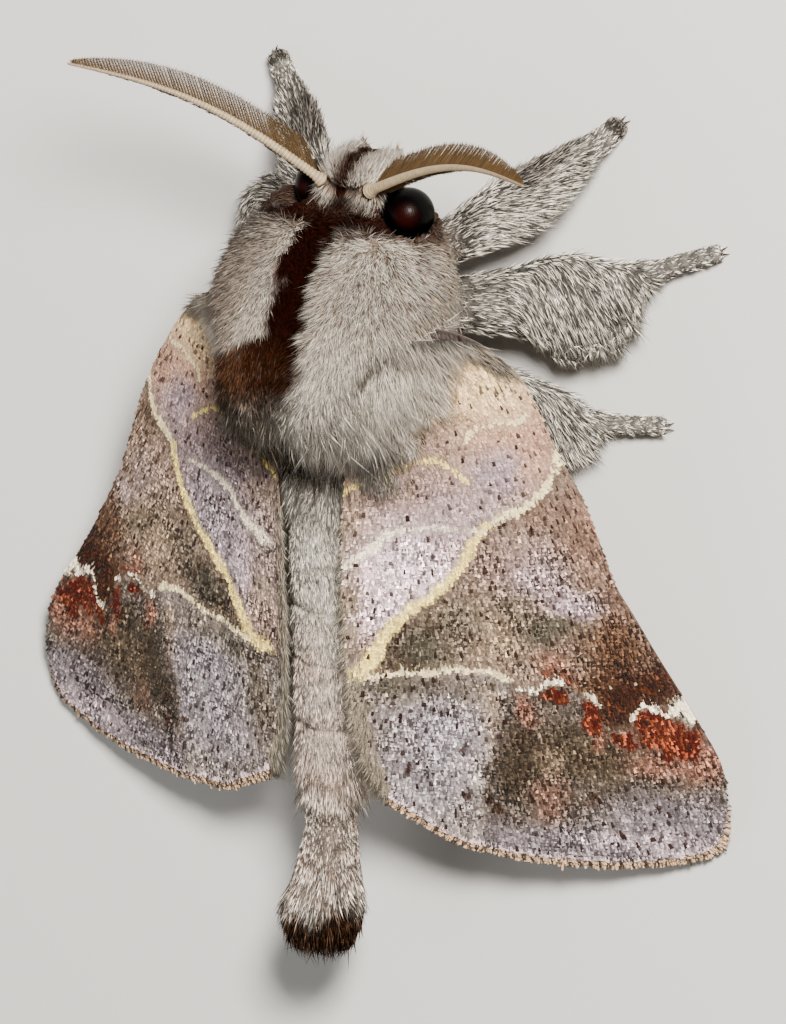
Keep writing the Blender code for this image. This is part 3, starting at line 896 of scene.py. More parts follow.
def thorax_colours(r, b, u, places):
    brown = 0.32 + 0.3 * noise(places, 1.1, 1) + 0.35 * noise(places, 4.0, 15)
    tint = toward(evenly(GREY_FUR, len(r)), BROWN_FUR, np.clip(brown, 0, 1))
    tip = evenly(PALE_TIP, len(r)) * (0.9 + 0.12 * noise(places, 2.5, 2))[:, None]
    tip = toward(tip, SNOW_TIP, ease(b, -1.2, 0.6))
    # painted shade: the thorax's left side, turned from the key light, is painted darker grey
    shaded_left = ease(-r + 0.2 * noise(places, 2.0, 27), 0.5, 1.9)
    creamy = ease(np.abs(r), 2.1, 2.9) * bell(b - 1.2, 1.1)
    middle = ease(0.55 + 0.45 * ease(b, 1.6, 2.3) - r, -0.25, 0.35)
    mottled = ease(b, 0.5, 1.3) * middle * (0.95 + 0.4 * noise(places, 2.2, 4) + 0.5 * noise(places, 6.0, 16))
    streak = ease(noise(places, 6.5, 33) + 0.3 * noise(places, 12.0, 34), 0.1, 0.6)[:, None]
    streaked = MOTTLE * (1 - streak) * 1.4 + PALE_TIP * 0.7 * streak
    upper = (1 - ease(b, -1.8, 0.2)) * ease(u, -1.5, 0.5)
    rear = ease(b + 0.25 * noise(places, 2.0, 14) - 0.35 * ease(r, -0.5, 0.8), 2.0, 2.75)
    # painted light: the thorax's right rear, which slopes away from the light, is painted paler to offset its
    # shade
    pale = ease(b, -1.0, 0.8) * ease(r, -0.6, 0.6) * (1 - rear)
    stripe = stripe_share(r, b, places)
    flare = stripe * ease(b, -0.7, 0.5) * (0.45 + 0.55 * ease(-r + 0.4 * noise(places, 3.0, 17), 0.4, 1.4))
    collar = (1 - ease(b + 0.1 * noise(places, 2.5, 13), -2.35, -2.1)) * ease(u, -3.4, -2.2)
    collar = collar * (1 - ease(r, 2.2, 2.8) * 0.7) * (1 - ease(-r, 1.9, 2.4))
    shoulder = ease(-r, 1.7, 2.3) * (1 - ease(b, -2.2, -1.6))
    # dark fur round each eye: partly the fur's own colour, partly painted shade in the eye's socket
    socket = 1 - ease(eye_distance(r, b, u) + 0.1 * noise(places, 4.0, 24), 0.85, 1.5)
    under = 1 - ease(u, -3.2, -1.5)
    layers = (
        (shaded_left, SLATE * 2.2, 0.8, GREY_FUR * 0.9, 0.8),
        (creamy, CREAM_FUR, 0.35, CREAM_FUR, 0.3),
        (np.clip(mottled, 0, 1), MOTTLE, 1.0, streaked, 0.85),
        (upper, BROWN_FUR, 0.35, BROWN_FUR, 0.25),
        (rear, UMBER, 0.9, UMBER * 1.6, 0.75),
        (pale, SNOW_TIP * 0.8, 0.75, SNOW_TIP * 1.1, 0.8),
        (stripe, CHOCOLATE, 1.0, CHOCOLATE * 1.2, 1.0),
        (flare, RUST_BROWN, 0.9, RUST_BROWN * 1.3, 0.9),
        (collar, CHOCOLATE, 1.0, UMBER, 1.0),
        (shoulder, SLATE * 0.6, 0.8, SNOW_TIP, 0.8),
        (socket, CHOCOLATE * 1.5, 1.0, UMBER, 1.0),
        (under, BROWN_FUR, 0.5, GREY_FUR, 0.5),
    )
    return layered(tint, tip, layers)


def tuft_share(r, b, u, places):
    """How much pale tuft there is: around each feeler's root and forward of it, parted in the middle."""
    base = np.array(ANTENNA_BASE)
    away = np.stack((np.abs(r) - base[0], b - base[1], u - base[2]), axis=1)
    around = bell(np.linalg.norm(away, axis=1), 0.5)
    forward = bell(np.abs(r) - 0.64, 0.36) * (1 - ease(b, -3.1, -2.85)) * ease(u, -4.0, -3.3)
    part = ease(np.abs(r + 0.06 + 0.25 * (b + 3.2)) + 0.08 * noise(places, 4.0, 18), 0.1, 0.22)
    return np.maximum(around, forward) * part


def head_colours(r, b, u, places):
    tuft = tuft_share(r, b, u, places)
    dark = np.maximum(ease(u, -3.5, -2.7), ease(b, -2.95, -2.75) * ease(u, -3.6, -2.8))
    dark = np.maximum(dark, ease(u, -4.2, -3.6) * (1 - ease(np.abs(r + 0.06), 0.2, 0.4)))
    streaks = np.clip(0.35 + 0.6 * noise(places, 7.0, 29), 0, 1)
    layers = (
        (dark, CHOCOLATE * 1.3, 1.0, UMBER, 0.95),
        (tuft, toward(evenly(GREY_FUR, len(r)), UMBER * 2, streaks), 1.0, SNOW_TIP, 1.0),
        (1 - ease(u, -3.9, -3.2), BROWN_FUR, 0.5, GREY_FUR, 0.3),
    )
    return layered(evenly(GREY_FUR, len(r)), evenly(PALE_TIP, len(r)), layers)


def abdomen_colours(r, b, u, places):
    tint = evenly(SNOW_TIP * 0.94, len(r))
    tint = toward(tint, ROSY, ease(b, 6, 12) * (0.5 + 0.4 * noise(places, 1.3, 5)))
    tint = toward(tint, BROWN_FUR, np.clip(0.05 + 0.25 * noise(places, 2.6, 6), 0, 1))
    tip = evenly(SNOW_TIP, len(r)) * (1 + 0.12 * ease(b, 6, 12))[:, None]
    wavy = b + 0.06 * noise(places, 3.0, 7)
    joint = sum(shade * bell(wavy - place, 0.055) for place, shade in SEGMENT_JOINTS)
    joint = np.clip(joint * (0.6 + 1.1 * noise(places, 3.0, 8)), 0, 1) * ease(u, -1.2, -0.2)
    layers = (
        (joint, UMBER, 0.95, BROWN_FUR, 0.7),
        (1 - ease(b, 3.4, 5.4), UMBER * 2, 0.28, BROWN_FUR, 0.15),
    )
    return layered(tint, tip, layers)


def tail_colours(r, b, u, places):
    tint = toward(evenly(ROSY, len(r)), SILVER, np.clip(0.5 + 0.5 * noise(places, 1.5, 9), 0, 1))
    tint = toward(tint, SLATE * 1.2, np.clip(0.15 + 0.6 * noise(places, 5.0, 10), 0, 1))
    short = ease(b, 13.6, 14.2) * (1 - ease(b, 15.4, 16.0))
    brown = short * np.clip(0.15 + 0.6 * noise(places, 4.0, 19), 0, 1)
    tip = toward(evenly(SNOW_TIP, len(r)), BROWN_FUR, brown)
    dark = ease(b + 0.35 * noise(places, 4.0, 11), 16.35, 16.75)
    return toward(tint, UMBER * 2.4, dark), toward(tip, UMBER * 3.4, dark)


def leg_colours(r, b, u, places):
    near = nearest_on_legs(places)
    share = near[:, SHARE]
    tint = toward(evenly(SNOW_TIP * 0.9, len(r)), SLATE, np.clip(0.3 + 0.5 * noise(places, 3.0, 12), 0, 1))
    tint = toward(tint, SNOW_TIP, 0.35 * (near[:, LEG] >= FIRST_HIND_LEG))
    foot = ease(share, 0.8, 0.86)
    leading = ease(near[:, 1] - places[:, 1] + 0.12 * noise(places, 4.0, 30), 0.12, 0.42)
    leading = leading * ease(share, 0.25, 0.5)
    leading = np.maximum(leading * (1 - foot), ease(share, 0.88, 0.95)) * (near[:, LEG] < FIRST_MID_LEG)
    layers = (
        (1 - ease(share, 0.02, 0.2), BROWN_FUR, 0.4, GREY_FUR, 0.4),
        (foot, SNOW_TIP, 0.8, SNOW_TIP, 0.0),
        (leading, UMBER, 0.8, UMBER * 1.6, 0.75),
        (foot * foot_ring(near), SLATE * 0.6, 0.55, SLATE, 0.35),
    )
    return layered(tint, evenly(SNOW_TIP, len(r)), layers)


def foot_ring(near):
    """The rings along a foot: 0 where a joint's pale scales stand out, 1 in the dark gap behind it."""
    return ease(np.sin(near[:, SHARE] * 150), -0.2, 0.9)


COLOURS = {"head": head_colours, "thorax": thorax_colours, "abdomen": abdomen_colours, "tail": tail_colours}


def region_colours(region, places):
    return COLOURS.get(region, leg_colours)(*in_body(places), places)


def coloured(roots, region, rng, spread, odd, shade):
    """Gives roots their region's colours, each a little off its neighbours', with some odd dark hairs."""
    places = roots["place"]
    tint, tip = region_colours(region, places)
    vary = varied(rng, spread, (len(places), 1))
    odd_ones = rng.random(len(places)) < odd
    roots["tint"] = np.where(odd_ones[:, None], tint * shade, tint * vary)
    roots["tip"] = np.where(odd_ones[:, None], tip * shade, tip * vary)
    return roots


def sized(rng, count, width, length, spread=0.18):
    """Tuft sizes: the same width both ways, and lengths varied about those given."""
    vary = varied(rng, spread, count)
    widths = width * varied(rng, 0.2, count)
    return np.column_stack((widths, widths, length * vary))


# ---------------------------------------------------------------- the body's coat

# How many tufts each region has, and how wide they are. The last two are on each forewing.
COAT = {
    "thorax": (59000, 0.027),
    "head": (12000, 0.028),
    "abdomen": (27000, 0.03),
    "tail": (10000, 0.042),
    "front_right": (7600, 0.037),
    "front_left": (6200, 0.037),
    "mid_right": (11000, 0.037),
    "mid_left": (4000, 0.037),
    "hind_right": (7600, 0.037),
    "hind_left": (4000, 0.037),
    "inner_margin": (2800, 0.024),
    "wing_root": (6000, 0.027),
}


def thorax_roots(sown, rng):
    """Dense fur that fans back from the front of each shoulder cover, and overhangs wings and abdomen."""
    count, width = COAT["thorax"]
    favour = lambda r, b, u: np.clip(0.3 + ease(u, -2.6, -0.8), 0, 1.3)
    roots = scatter(sown, "thorax", count, rng, favour)
    r, b, u = in_body(roots["place"])
    side = np.where(r < 0, -1, 1)
    fan = np.stack((np.abs(r) - 1.5, b + 4.3, u + 0.6), axis=1)
    fan = fan / np.linalg.norm(fan, axis=1, keepdims=True) + (0, 0.15, 0)
    inner = bell(np.abs(r + 0.25) - 0.8, 0.35) * ease(u, 0, 1) * (1 - ease(b, 0.3, 1.5))
    fan[:, 0] -= 0.5 * inner
    across = r + 0.9 * b
    drape = bell(across - 2.75, 0.5) * ease(r, 0.9, 1.5) * ease(u, -2.2, -1.2)
    fan[:, 0] += 0.8 * drape
    swings = ((1.8, 0.3), (5.0, 0.22), (10.0, 0.38))
    wander = sum(share * noise(roots["place"], scale, 20) for scale, share in swings)
    lines = along_body(side * (fan[:, 0] + wander), fan[:, 1], fan[:, 2])
    lines += rng.normal(0, 0.16, (count, 3))
    rise = np.clip(0.72 + 0.3 * noise(roots["place"], 9.0, 28) + rng.normal(0, 0.15, count), 0.15, 1.3)
    roots["lie"] = laid(lines, roots["out"], rise * (1 - 0.45 * drape))
    length = np.interp(b, (-2.8, -2.2, -1, 1.0, 2.0, 2.6, 3.2), (0.24, 0.3, 0.36, 0.42, 0.54, 0.9, 1.05))
    length *= np.where(u < -2.2, 0.8, 1) * (1 + 0.8 * drape)
    stripe = stripe_share(r, b, roots["place"])
    roots["size"] = sized(rng, count, width, length * (1 - 0.25 * stripe), 0.25)
    roots = clear_of_eyes(roots)
    return coloured(roots, "thorax", rng, 0.22, 0.24, 0.5)


def clear_of_eyes(roots):
    """Leaves out the roots whose tufts would stand over an eye."""
    clear = np.ones(len(roots["place"]), bool)
    for side in (-1, 1):
        centre = on_body(*mirrored(EYE_CENTRE, side))
        line = unit_rows(along_body(*mirrored(EYE_VIEW, side)))
        for share in (0.0, 0.5, 1.0):
            away = roots["place"] + roots["lie"] * roots["size"][:, 2:] * share - centre
            away -= np.clip(away @ line, 0, 3)[:, None] * line
            clear &= np.linalg.norm(away, axis=1) > EYE_RADIUS * EYE_CLEAR[side]
    return picked(roots, clear)


def head_roots(sown, rng):
    """Short fur on the face, and cream tufts that run forward and down from the feelers' roots."""
    count, width = COAT["head"]
    roots = scatter(sown, "head", count, rng)
    r, b, u = in_body(roots["place"])
    side = np.where(r < 0, -1, 1)
    away = np.stack((r - side * 0.6, b + 3.1, u + 2.3), axis=1)
    near = bell(np.linalg.norm(away, axis=1), 0.5)
    tuft = tuft_share(r, b, u, roots["place"])
    forward = along_body(0.3 * side, np.full(count, -0.7), np.full(count, -0.65))
    rearward = along_body(-0.15 * side, np.full(count, 0.8), np.full(count, -0.1))
    lines = np.where((b < -3.05)[:, None], forward, rearward) + along_body(*away.T) * near[:, None] * 2.0
    lines += rng.normal(0, 0.15, (count, 3))
    rise = 0.3 + 0.45 * np.maximum(near, tuft) + np.abs(rng.normal(0, 0.12, count))
    roots["lie"] = laid(lines, roots["out"], rise)
    roots["size"] = sized(rng, count, width, 0.18 + 0.26 * np.maximum(near, tuft))
    roots = clear_of_eyes(roots)
    return coloured(roots, "head", rng, 0.25, 0.28, 0.35)


def abdomen_roots(sown, rng):
    """Close fur that lies straight back."""
    count, width = COAT["abdomen"]
    favour = lambda r, b, u: np.clip(0.3 + 1.2 * ease(u, -1.3, -0.3), 0, 2)
    roots = scatter(sown, "abdomen", count, rng, favour)
    r, b, u = in_body(roots["place"])
    sway = noise(roots["place"], 1.2, 21) * 0.25
    lines = along_body(sway + 0.08 * r, np.ones(len(r)), np.zeros(len(r)))
    lines += rng.normal(0, 0.1, (count, 3))
    flank = ease(np.abs(roots["out"][:, 0]), 0.45, 0.85)
    loose = 1 - ease(b, 4.8, 5.6)
    lines += along_body(0.5 * noise(roots["place"], 1.6, 23) * loose, np.zeros(count), np.zeros(count))
    rise = np.abs(rng.normal(0.13, 0.07, count)) + 0.4 * flank + 0.15 * loose
    roots["lie"] = laid(lines, roots["out"], rise)
    length = np.interp(b, (3, 4.6, 5.6, 12.2, 12.9, 13.6), (0.7, 0.6, 0.33, 0.33, 0.5, 0.55))
    roots["size"] = sized(rng, count, width, length * (1 + 0.45 * flank))
    joints = np.array([place for place, _ in SEGMENT_JOINTS[1:]] + [FAR])
    ahead = joints[None, :] - (b + 0.05 * noise(roots["place"], 3.0, 7))[:, None]
    room = np.where(ahead > 0, ahead, FAR).min(1)
    room = np.where((b > 7.2) & (b < 12.5), room, 1)
    roots["size"][:, 2] = np.minimum(roots["size"][:, 2], room + 0.07)
    return coloured(roots, "abdomen", rng, 0.32, 0.18, 0.25)


def tail_roots(sown, rng):
    """The tail's tuft of long scales, spread at its end."""
    count, width = COAT["tail"]
    roots = scatter(sown, "tail", count, rng)
    r, b, u = in_body(roots["place"])
    lines = along_body(0.05 * r, np.ones(len(r)), 0.05 * (u + 0.2))
    lines += rng.normal(0, 0.09, (count, 3))
    end = ease(b, 15.6, 17.4)
    roots["lie"] = laid(lines, roots["out"], 0.14 + 0.16 * end + np.abs(rng.normal(0, 0.08, count)))
    length = np.interp(b, (13, 13.6, 14.1, 15.4, 15.9, 16.5, 18), (0.5, 0.4, 0.18, 0.22, 0.42, 0.36, 0.5))
    roots["size"] = sized(rng, count, width, length, 0.28)
    return coloured(roots, "tail", rng, 0.35, 0.15 + 0.3 * ease(b, 15.4, 16.0), 0.2)


def leg_roots(sown, rng, leg):
    """Fur along a leg, swept tailward on its shin, and short scales on its foot."""
    count, width = COAT[leg]
    roots = scatter(sown, leg, count, rng)
    places = roots["place"]
    near = nearest_on_legs(places, list(LEGS).index(leg))
    share = near[:, SHARE]
    shin = ease(share, 0.12, 0.32) * (1 - ease(share, 0.68, 0.8))
    tailward = evenly((0.0, 1.0, -0.15), count)
    lines = near[:, DIRECTION] + tailward * (LEG_SWEEP[leg] * shin)[:, None]
    lines += rng.normal(0, 0.08, (count, 3)) * (1 - 0.4 * shin)[:, None]
    foot = ease(share, 0.78, 0.84)
    stand = (1 - foot_ring(near)) * foot
    rearmost = np.clip(roots["out"][:, 1], 0, 1) * shin
    rise = (0.14 + 0.25 * shin + np.abs(rng.normal(0, 0.12, count))) * (1 - 0.5 * foot) + 0.35 * stand
    rise += 1.1 * rearmost * LEG_SWEEP[leg] / 1.7
    roots["lie"] = laid(lines, roots["out"], rise)
    thick = np.clip(near[:, HALF_WIDTH], 0.25, 1.0)
    length = (0.16 + 0.2 * thick + 0.18 * rearmost * LEG_SWEEP[leg]) * (1 - 0.62 * foot) + 0.07 * stand
    roots["size"] = sized(rng, count, width + 0.004 * foot, length, 0.22)
    return coloured(roots, leg, rng, 0.28, 0.38 - 0.3 * foot, 0.12)


# ---------------------------------------------------------------- wings

# Where each vein leaves the wing's cell, and where it ends at the margin, in plan.
VEINS = (
    ((7.6, 9.5), (9.5, 14.3)),
    ((6.6, 8.6), (8.4, 14.9)),
    ((5.9, 8.2), (7.2, 15.0)),
    ((5.2, 8.1), (6.0, 14.9)),
    ((4.4, 7.9), (4.9, 14.7)),
    ((3.7, 7.2), (3.9, 14.4)),
    ((2.9, 5.9), (2.9, 14.1)),
    ((1.9, 3.5), (2.0, 13.6)),
)
CELL_FOLD = ((2.2, 4.0), (3.3, 9.0), (4.3, 14.7))


def relief(points):
    """Low ridges over the wing's veins, and the fold between two of them."""
    height = np.zeros(len(points))
    for vein in VEINS:
        gap, share = line_distance(points, np.array(vein, float))
        height += 0.03 * bell(gap, 0.16) * ease(share, 0, 0.15)
    fold, share = line_distance(points, through(CELL_FOLD, LINE_STEPS))
    return height - 0.05 * bell(fold, 0.22) * ease(share, 0.1, 0.6)


def wing_height(points):
    """How far out of the back the forewing's scale tips lie over plan points."""
    r, b = points.T
    out = np.clip(r / (4.55 + 0.43 * b), 0, 1)
    bend = np.sin(math.pi * np.clip((b + 1) / 12, 0, 1))
    curl = np.clip((1.6 - r) / 0.7, 0, 1) ** 2
    lift = 0.12 * np.clip((b - 10) / 3, 0, 1) * out**2
    flat = -ROOF_SLOPE * (r - ROOF_EDGE) - COSTAL_DROOP * out**4 * bend + INNER_CURL * curl + lift
    return flat + relief(points)


def wing_plan(outline, out, back):
    """Plan points at shares of the way outward and backward over a wing."""
    front, rear = along(outline["costa"], out), along(outline["inner"], out)
    edge = along(outline["outer"], back)
    apex, tornus = np.array(outline["costa"][-1]), np.array(outline["inner"][-1])
    back, out = back[:, None], out[:, None]
    straight = apex + (tornus - apex) * back
    return front + (rear - front) * back + (edge - straight) * out**2


def on_wing(points, side, depth):
    """Places over plan points, that far below the scale tips, and never below the floor."""
    places = on_body(points[:, 0] * SIDES[side], points[:, 1], wing_height(points) - depth)
    places[:, 2] = np.maximum(places[:, 2], 0.03)
    return places


# The forewing's colours, as they are to look.
WING_LOOKS = {
    "cream": (248, 211, 192),
    "lemon": (248, 209, 168),
    "white": (240, 213, 203),
    "peach": (229, 207, 187),
    "pink": (194, 174, 158),
    "lilac": (184, 172, 174),
    "pale_lilac": (212, 203, 205),
    "mauve": (174, 156, 146),
    "tan": (160, 134, 112),
    "brown": (146, 118, 96),
    "maroon": (112, 78, 58),
    "chocolate": (68, 38, 20),
    "beige": (172, 156, 134),
    "olive": (140, 126, 104),
    "moss": (108, 99, 82),
    "dark_moss": (74, 63, 48),
    "bark": (98, 82, 67),
    "slate_lilac": (172, 166, 168),
    "margin_lilac": (156, 147, 149),
    "rust": (124, 60, 36),
    "orange": (164, 120, 92),
    "spot": (58, 38, 27),
}
WING_TINTS = {name: colour(*look) for name, look in WING_LOOKS.items()}

# Where the pale diagonal and the outer line cross the wing, and where the fold beyond them runs, in plan.
DIAGONAL = ((0.0, 9.9), (1.1, 9.65), (1.6, 8.95), (1.95, 8.3), (2.35, 7.85), (2.95, 7.3), (3.45, 6.75),
            (3.85, 6.1), (4.0, 5.7), (4.3, 5.2), (4.6, 4.95), (5.05, 4.75), (5.5, 4.4), (5.85, 3.7),
            (5.95, 2.95), (7.0, 0.9))
OUTER_LINE = ((0.0, 9.78), (1.5, 9.71), (3.0, 9.51), (4.4, 9.41), (4.75, 9.6), (5.1, 9.88), (5.5, 9.88),
              (5.7, 9.73), (6.3, 9.73), (6.6, 9.98), (6.9, 10.2), (7.05, 10.8), (7.5, 11.05), (7.75, 10.9),
              (7.95, 10.3), (8.47, 10.15), (8.75, 10.25), (9.3, 10.2), (11.0, 10.1))
FOLD = ((9.0, 4.8), (9.7, 4.72), (10.3, 4.58), (11.15, 4.45), (11.85, 4.24), (12.5, 4.06), (13.2, 4.0),
        (15.0, 3.9))

FIELD_TINTS = (colour(184, 168, 158), colour(160, 142, 124), colour(168, 159, 154), colour(122, 106, 92))
OLIVE_FIELD = FIELD_TINTS[3]

# Broad patches of the forewing, painted in turn: the field they keep to (0 before the diagonal, 1 between
# the lines, 2 and 3 beyond the outer line on each side of the fold), tint, out, tailward, reaches, strength.
PATCHES = (
    (0, "lilac", 3.2, 5.0, 2.2, 1.0, 0.7),
    (0, "pink", 4.9, 2.2, 1.5, 1.3, 0.9),
    (0, "peach", 4.0, 0.9, 1.7, 1.3, 1.0),
    (0, "lilac", 4.55, 3.7, 0.7, 0.75, 0.95),
    (0, "pink", 5.5, 3.1, 0.5, 0.9, 0.8),
    (0, "mauve", 2.0, 4.4, 1.2, 0.6, 0.9),
    (0, "beige", 1.0, 5.0, 0.45, 1.1, 0.7),
    (0, "pale_lilac", 2.5, 6.5, 1.35, 1.0, 1.0),
    (0, "pale_lilac", 2.0, 7.8, 1.0, 0.9, 0.75),
    (0, "beige", 0.95, 7.6, 0.3, 1.4, 0.75),
    (1, "mauve", 5.0, 6.2, 1.2, 1.1, 0.85),
    (1, "lilac", 5.6, 6.7, 0.8, 0.8, 0.6),
    (1, "brown", 5.6, 4.9, 0.6, 0.45, 0.8),
    (1, "tan", 6.7, 5.4, 0.8, 1.6, 1.0),
    (1, "brown", 7.4, 7.4, 0.65, 1.1, 1.0),
    (1, "lilac", 6.3, 7.45, 0.55, 0.42, 1.0),
    (1, "beige", 4.5, 8.3, 0.8, 0.9, 0.9),
    (1, "olive", 5.0, 7.5, 0.6, 0.5, 0.7),
    (1, "moss", 5.8, 8.15, 0.85, 0.38, 0.95),
    (1, "olive", 3.6, 7.9, 0.7, 0.7, 0.9),
    (1, "moss", 2.7, 8.8, 0.9, 0.65, 1.0),
    (1, "dark_moss", 2.2, 9.3, 0.6, 0.45, 0.75),
    (1, "dark_moss", 3.0, 8.2, 0.4, 0.35, 0.75),
    (1, "maroon", 7.3, 8.7, 1.0, 1.0, 1.0),
    (1, "maroon", 7.0, 9.9, 0.8, 0.8, 0.95),
    (1, "chocolate", 7.9, 9.9, 1.1, 0.9, 1.0),
    (1, "chocolate", 8.6, 9.5, 0.7, 1.0, 0.9),
    (1, "chocolate", 7.4, 10.6, 0.6, 0.7, 0.95),
    (1, "orange", 5.85, 9.15, 0.42, 0.38, 0.7),
    (1, "rust", 6.05, 9.6, 0.45, 0.35, 0.9),
    (2, "olive", 3.0, 10.1, 1.8, 0.55, 0.8),
    (2, "moss", 2.0, 10.05, 0.6, 0.25, 0.8),
    (2, "beige", 4.4, 10.9, 0.4, 1.2, 0.7),
    (2, "slate_lilac", 3.0, 11.3, 1.2, 1.0, 1.0),
    (2, "slate_lilac", 2.7, 12.7, 1.2, 1.1, 0.95),
    (2, "olive", 1.1, 11.2, 0.4, 1.6, 0.85),
    (3, "bark", 6.6, 11.7, 1.7, 1.1, 1.0),
    (3, "dark_moss", 5.15, 11.7, 0.5, 0.9, 0.95),
    (3, "dark_moss", 4.85, 12.6, 0.5, 0.7, 0.95),
    (3, "dark_moss", 6.1, 11.0, 0.35, 0.35, 0.7),
    (3, "dark_moss", 7.9, 12.7, 0.5, 0.3, 0.5),
    (3, "beige", 5.8, 12.0, 0.35, 0.5, 0.35),
    (3, "orange", 5.7, 13.1, 0.42, 0.65, 0.45),
    (3, "margin_lilac", 8.9, 13.5, 1.9, 0.75, 1.0),
    (3, "margin_lilac", 6.5, 14.4, 3.4, 0.65, 1.0),
    (3, "pale_lilac", 8.2, 14.2, 1.8, 0.3, 0.3),
    (3, "orange", 5.2, 10.55, 0.24, 0.42, 0.9),
    (3, "orange", 7.0, 11.3, 0.22, 0.3, 0.8),
    (3, "orange", 8.5, 11.8, 0.8, 0.5, 0.7),
    (3, "orange", 9.5, 11.8, 0.5, 0.6, 0.8),
    (3, "rust", 5.9, 10.0, 0.5, 0.22, 1.0),
    (3, "rust", 6.85, 10.6, 0.34, 0.55, 1.0),
    (3, "rust", 7.62, 11.15, 0.3, 0.4, 1.0),
    (3, "rust", 8.4, 10.85, 0.75, 0.65, 1.0),
    (3, "rust", 9.05, 11.25, 0.6, 0.7, 1.0),
)
# The left wing carries painted light and shade: it is painted duller before its diagonal and paler beyond it,
# as the light falls on it.
LEFT_LIT_PATCHES = (
    (0, "margin_lilac", 2.4, 6.6, 1.8, 2.4, 0.8),
    (1, "beige", 5.6, 6.8, 1.6, 2.2, 0.45),
    (3, "bark", 5.8, 12.4, 0.8, 1.6, 0.6),
    (2, "slate_lilac", 3.9, 12.0, 0.5, 1.6, 0.6),
)
# Small dark smudges: (out, tailward, radius).
SMUDGES = ((2.2, 12.3, 0.13), (3.75, 13.1, 0.14), (4.45, 13.5, 0.2), (4.2, 13.3, 0.14), (3.6, 11.8, 0.1),
           (6.8, 12.9, 0.14), (7.6, 13.95, 0.12), (1.2, 10.2, 0.12), (8.3, 13.25, 0.1), (5.4, 5.35, 0.12))

# The forewing's pale lines: (tint, strength, half width at start and end, points in plan).
LINES = (
    ("cream", 0.95, (0.07, 0.11),
     ((5.95, 2.95), (5.85, 3.7), (5.5, 4.4), (5.05, 4.75), (4.6, 4.95), (4.3, 5.2))),
    ("lemon", 1.0, (0.1, 0.14),
     ((4.3, 5.2), (4.0, 5.7), (3.85, 6.1), (3.45, 6.75), (2.95, 7.3), (2.35, 7.85), (1.95, 8.3))),
    ("lemon", 0.95, (0.14, 0.22), ((1.95, 8.3), (1.6, 8.95), (1.3, 9.5), (1.1, 9.65))),
    ("white", 0.75, (0.05, 0.07), ((4.3, 5.35), (3.7, 5.32), (3.0, 5.3), (2.33, 5.36))),
    ("white", 0.9, (0.08, 0.14), ((2.33, 5.36), (1.92, 5.6), (1.5, 6.05), (0.9, 6.45))),
    ("lemon", 0.9, (0.08, 0.06),
     ((0.92, 4.37), (1.5, 3.97), (2.0, 3.67), (2.58, 3.42), (3.0, 3.33), (3.42, 3.47), (3.9, 3.95))),
    ("cream", 0.8, (0.07, 0.06), ((5.3, 2.0), (5.0, 2.2), (4.42, 2.25), (4.0, 2.5), (3.9, 2.8))),
    ("cream", 0.9, (0.08, 0.07),
     ((1.4, 9.73), (2.17, 9.58), (3.0, 9.51), (3.83, 9.38), (4.4, 9.42), (4.75, 9.63))),
    ("white", 1.0, (0.05, 0.05), ((5.0, 9.88), (5.45, 9.9))),
    ("white", 1.0, (0.05, 0.05), ((5.62, 9.73), (5.85, 9.63), (6.1, 9.63))),
    ("white", 0.8, (0.04, 0.03), ((6.62, 9.98), (6.85, 10.05), (6.98, 10.25))),
    ("white", 0.9, (0.04, 0.03), ((7.45, 10.9), (7.6, 11.0), (7.75, 10.85))),
    ("white", 1.0, (0.04, 0.06), ((7.8, 10.65), (7.92, 10.3), (8.15, 10.2), (8.4, 10.3), (8.65, 10.45))),
    ("white", 1.0, (0.08, 0.27), ((8.7, 10.42), (8.92, 10.2), (9.3, 10.38))),
)
SEEDS = {"right": 50, "left": 60}
FRINGE_SEEDS = {"right": 70, "left": 80}


def interpolated(values, line):
    """The second number along a line of pairs, where its first is each of those values."""
    return np.interp(values, *np.array(line).T)


def marking_place(points, side):
    """Where a plan point's markings are drawn: on the left wing they lie further out along its hind half."""
    if side == "right":
        return points
    r, b = points.T
    late = np.interp(b, (3.2, 4.6, 5.6, 6.9, 8.7, 10.0), (0.1, 0.6, 1.0, 1.1, 1.15, 1.03))
    out = np.interp(r, (0.3, 2.2, 6.0, 8.2, 9.2, 10.0), (0.0, 1.0, 1.0, 0.4, 0.1, 0.0))
    return np.column_stack((r - late * out, b))


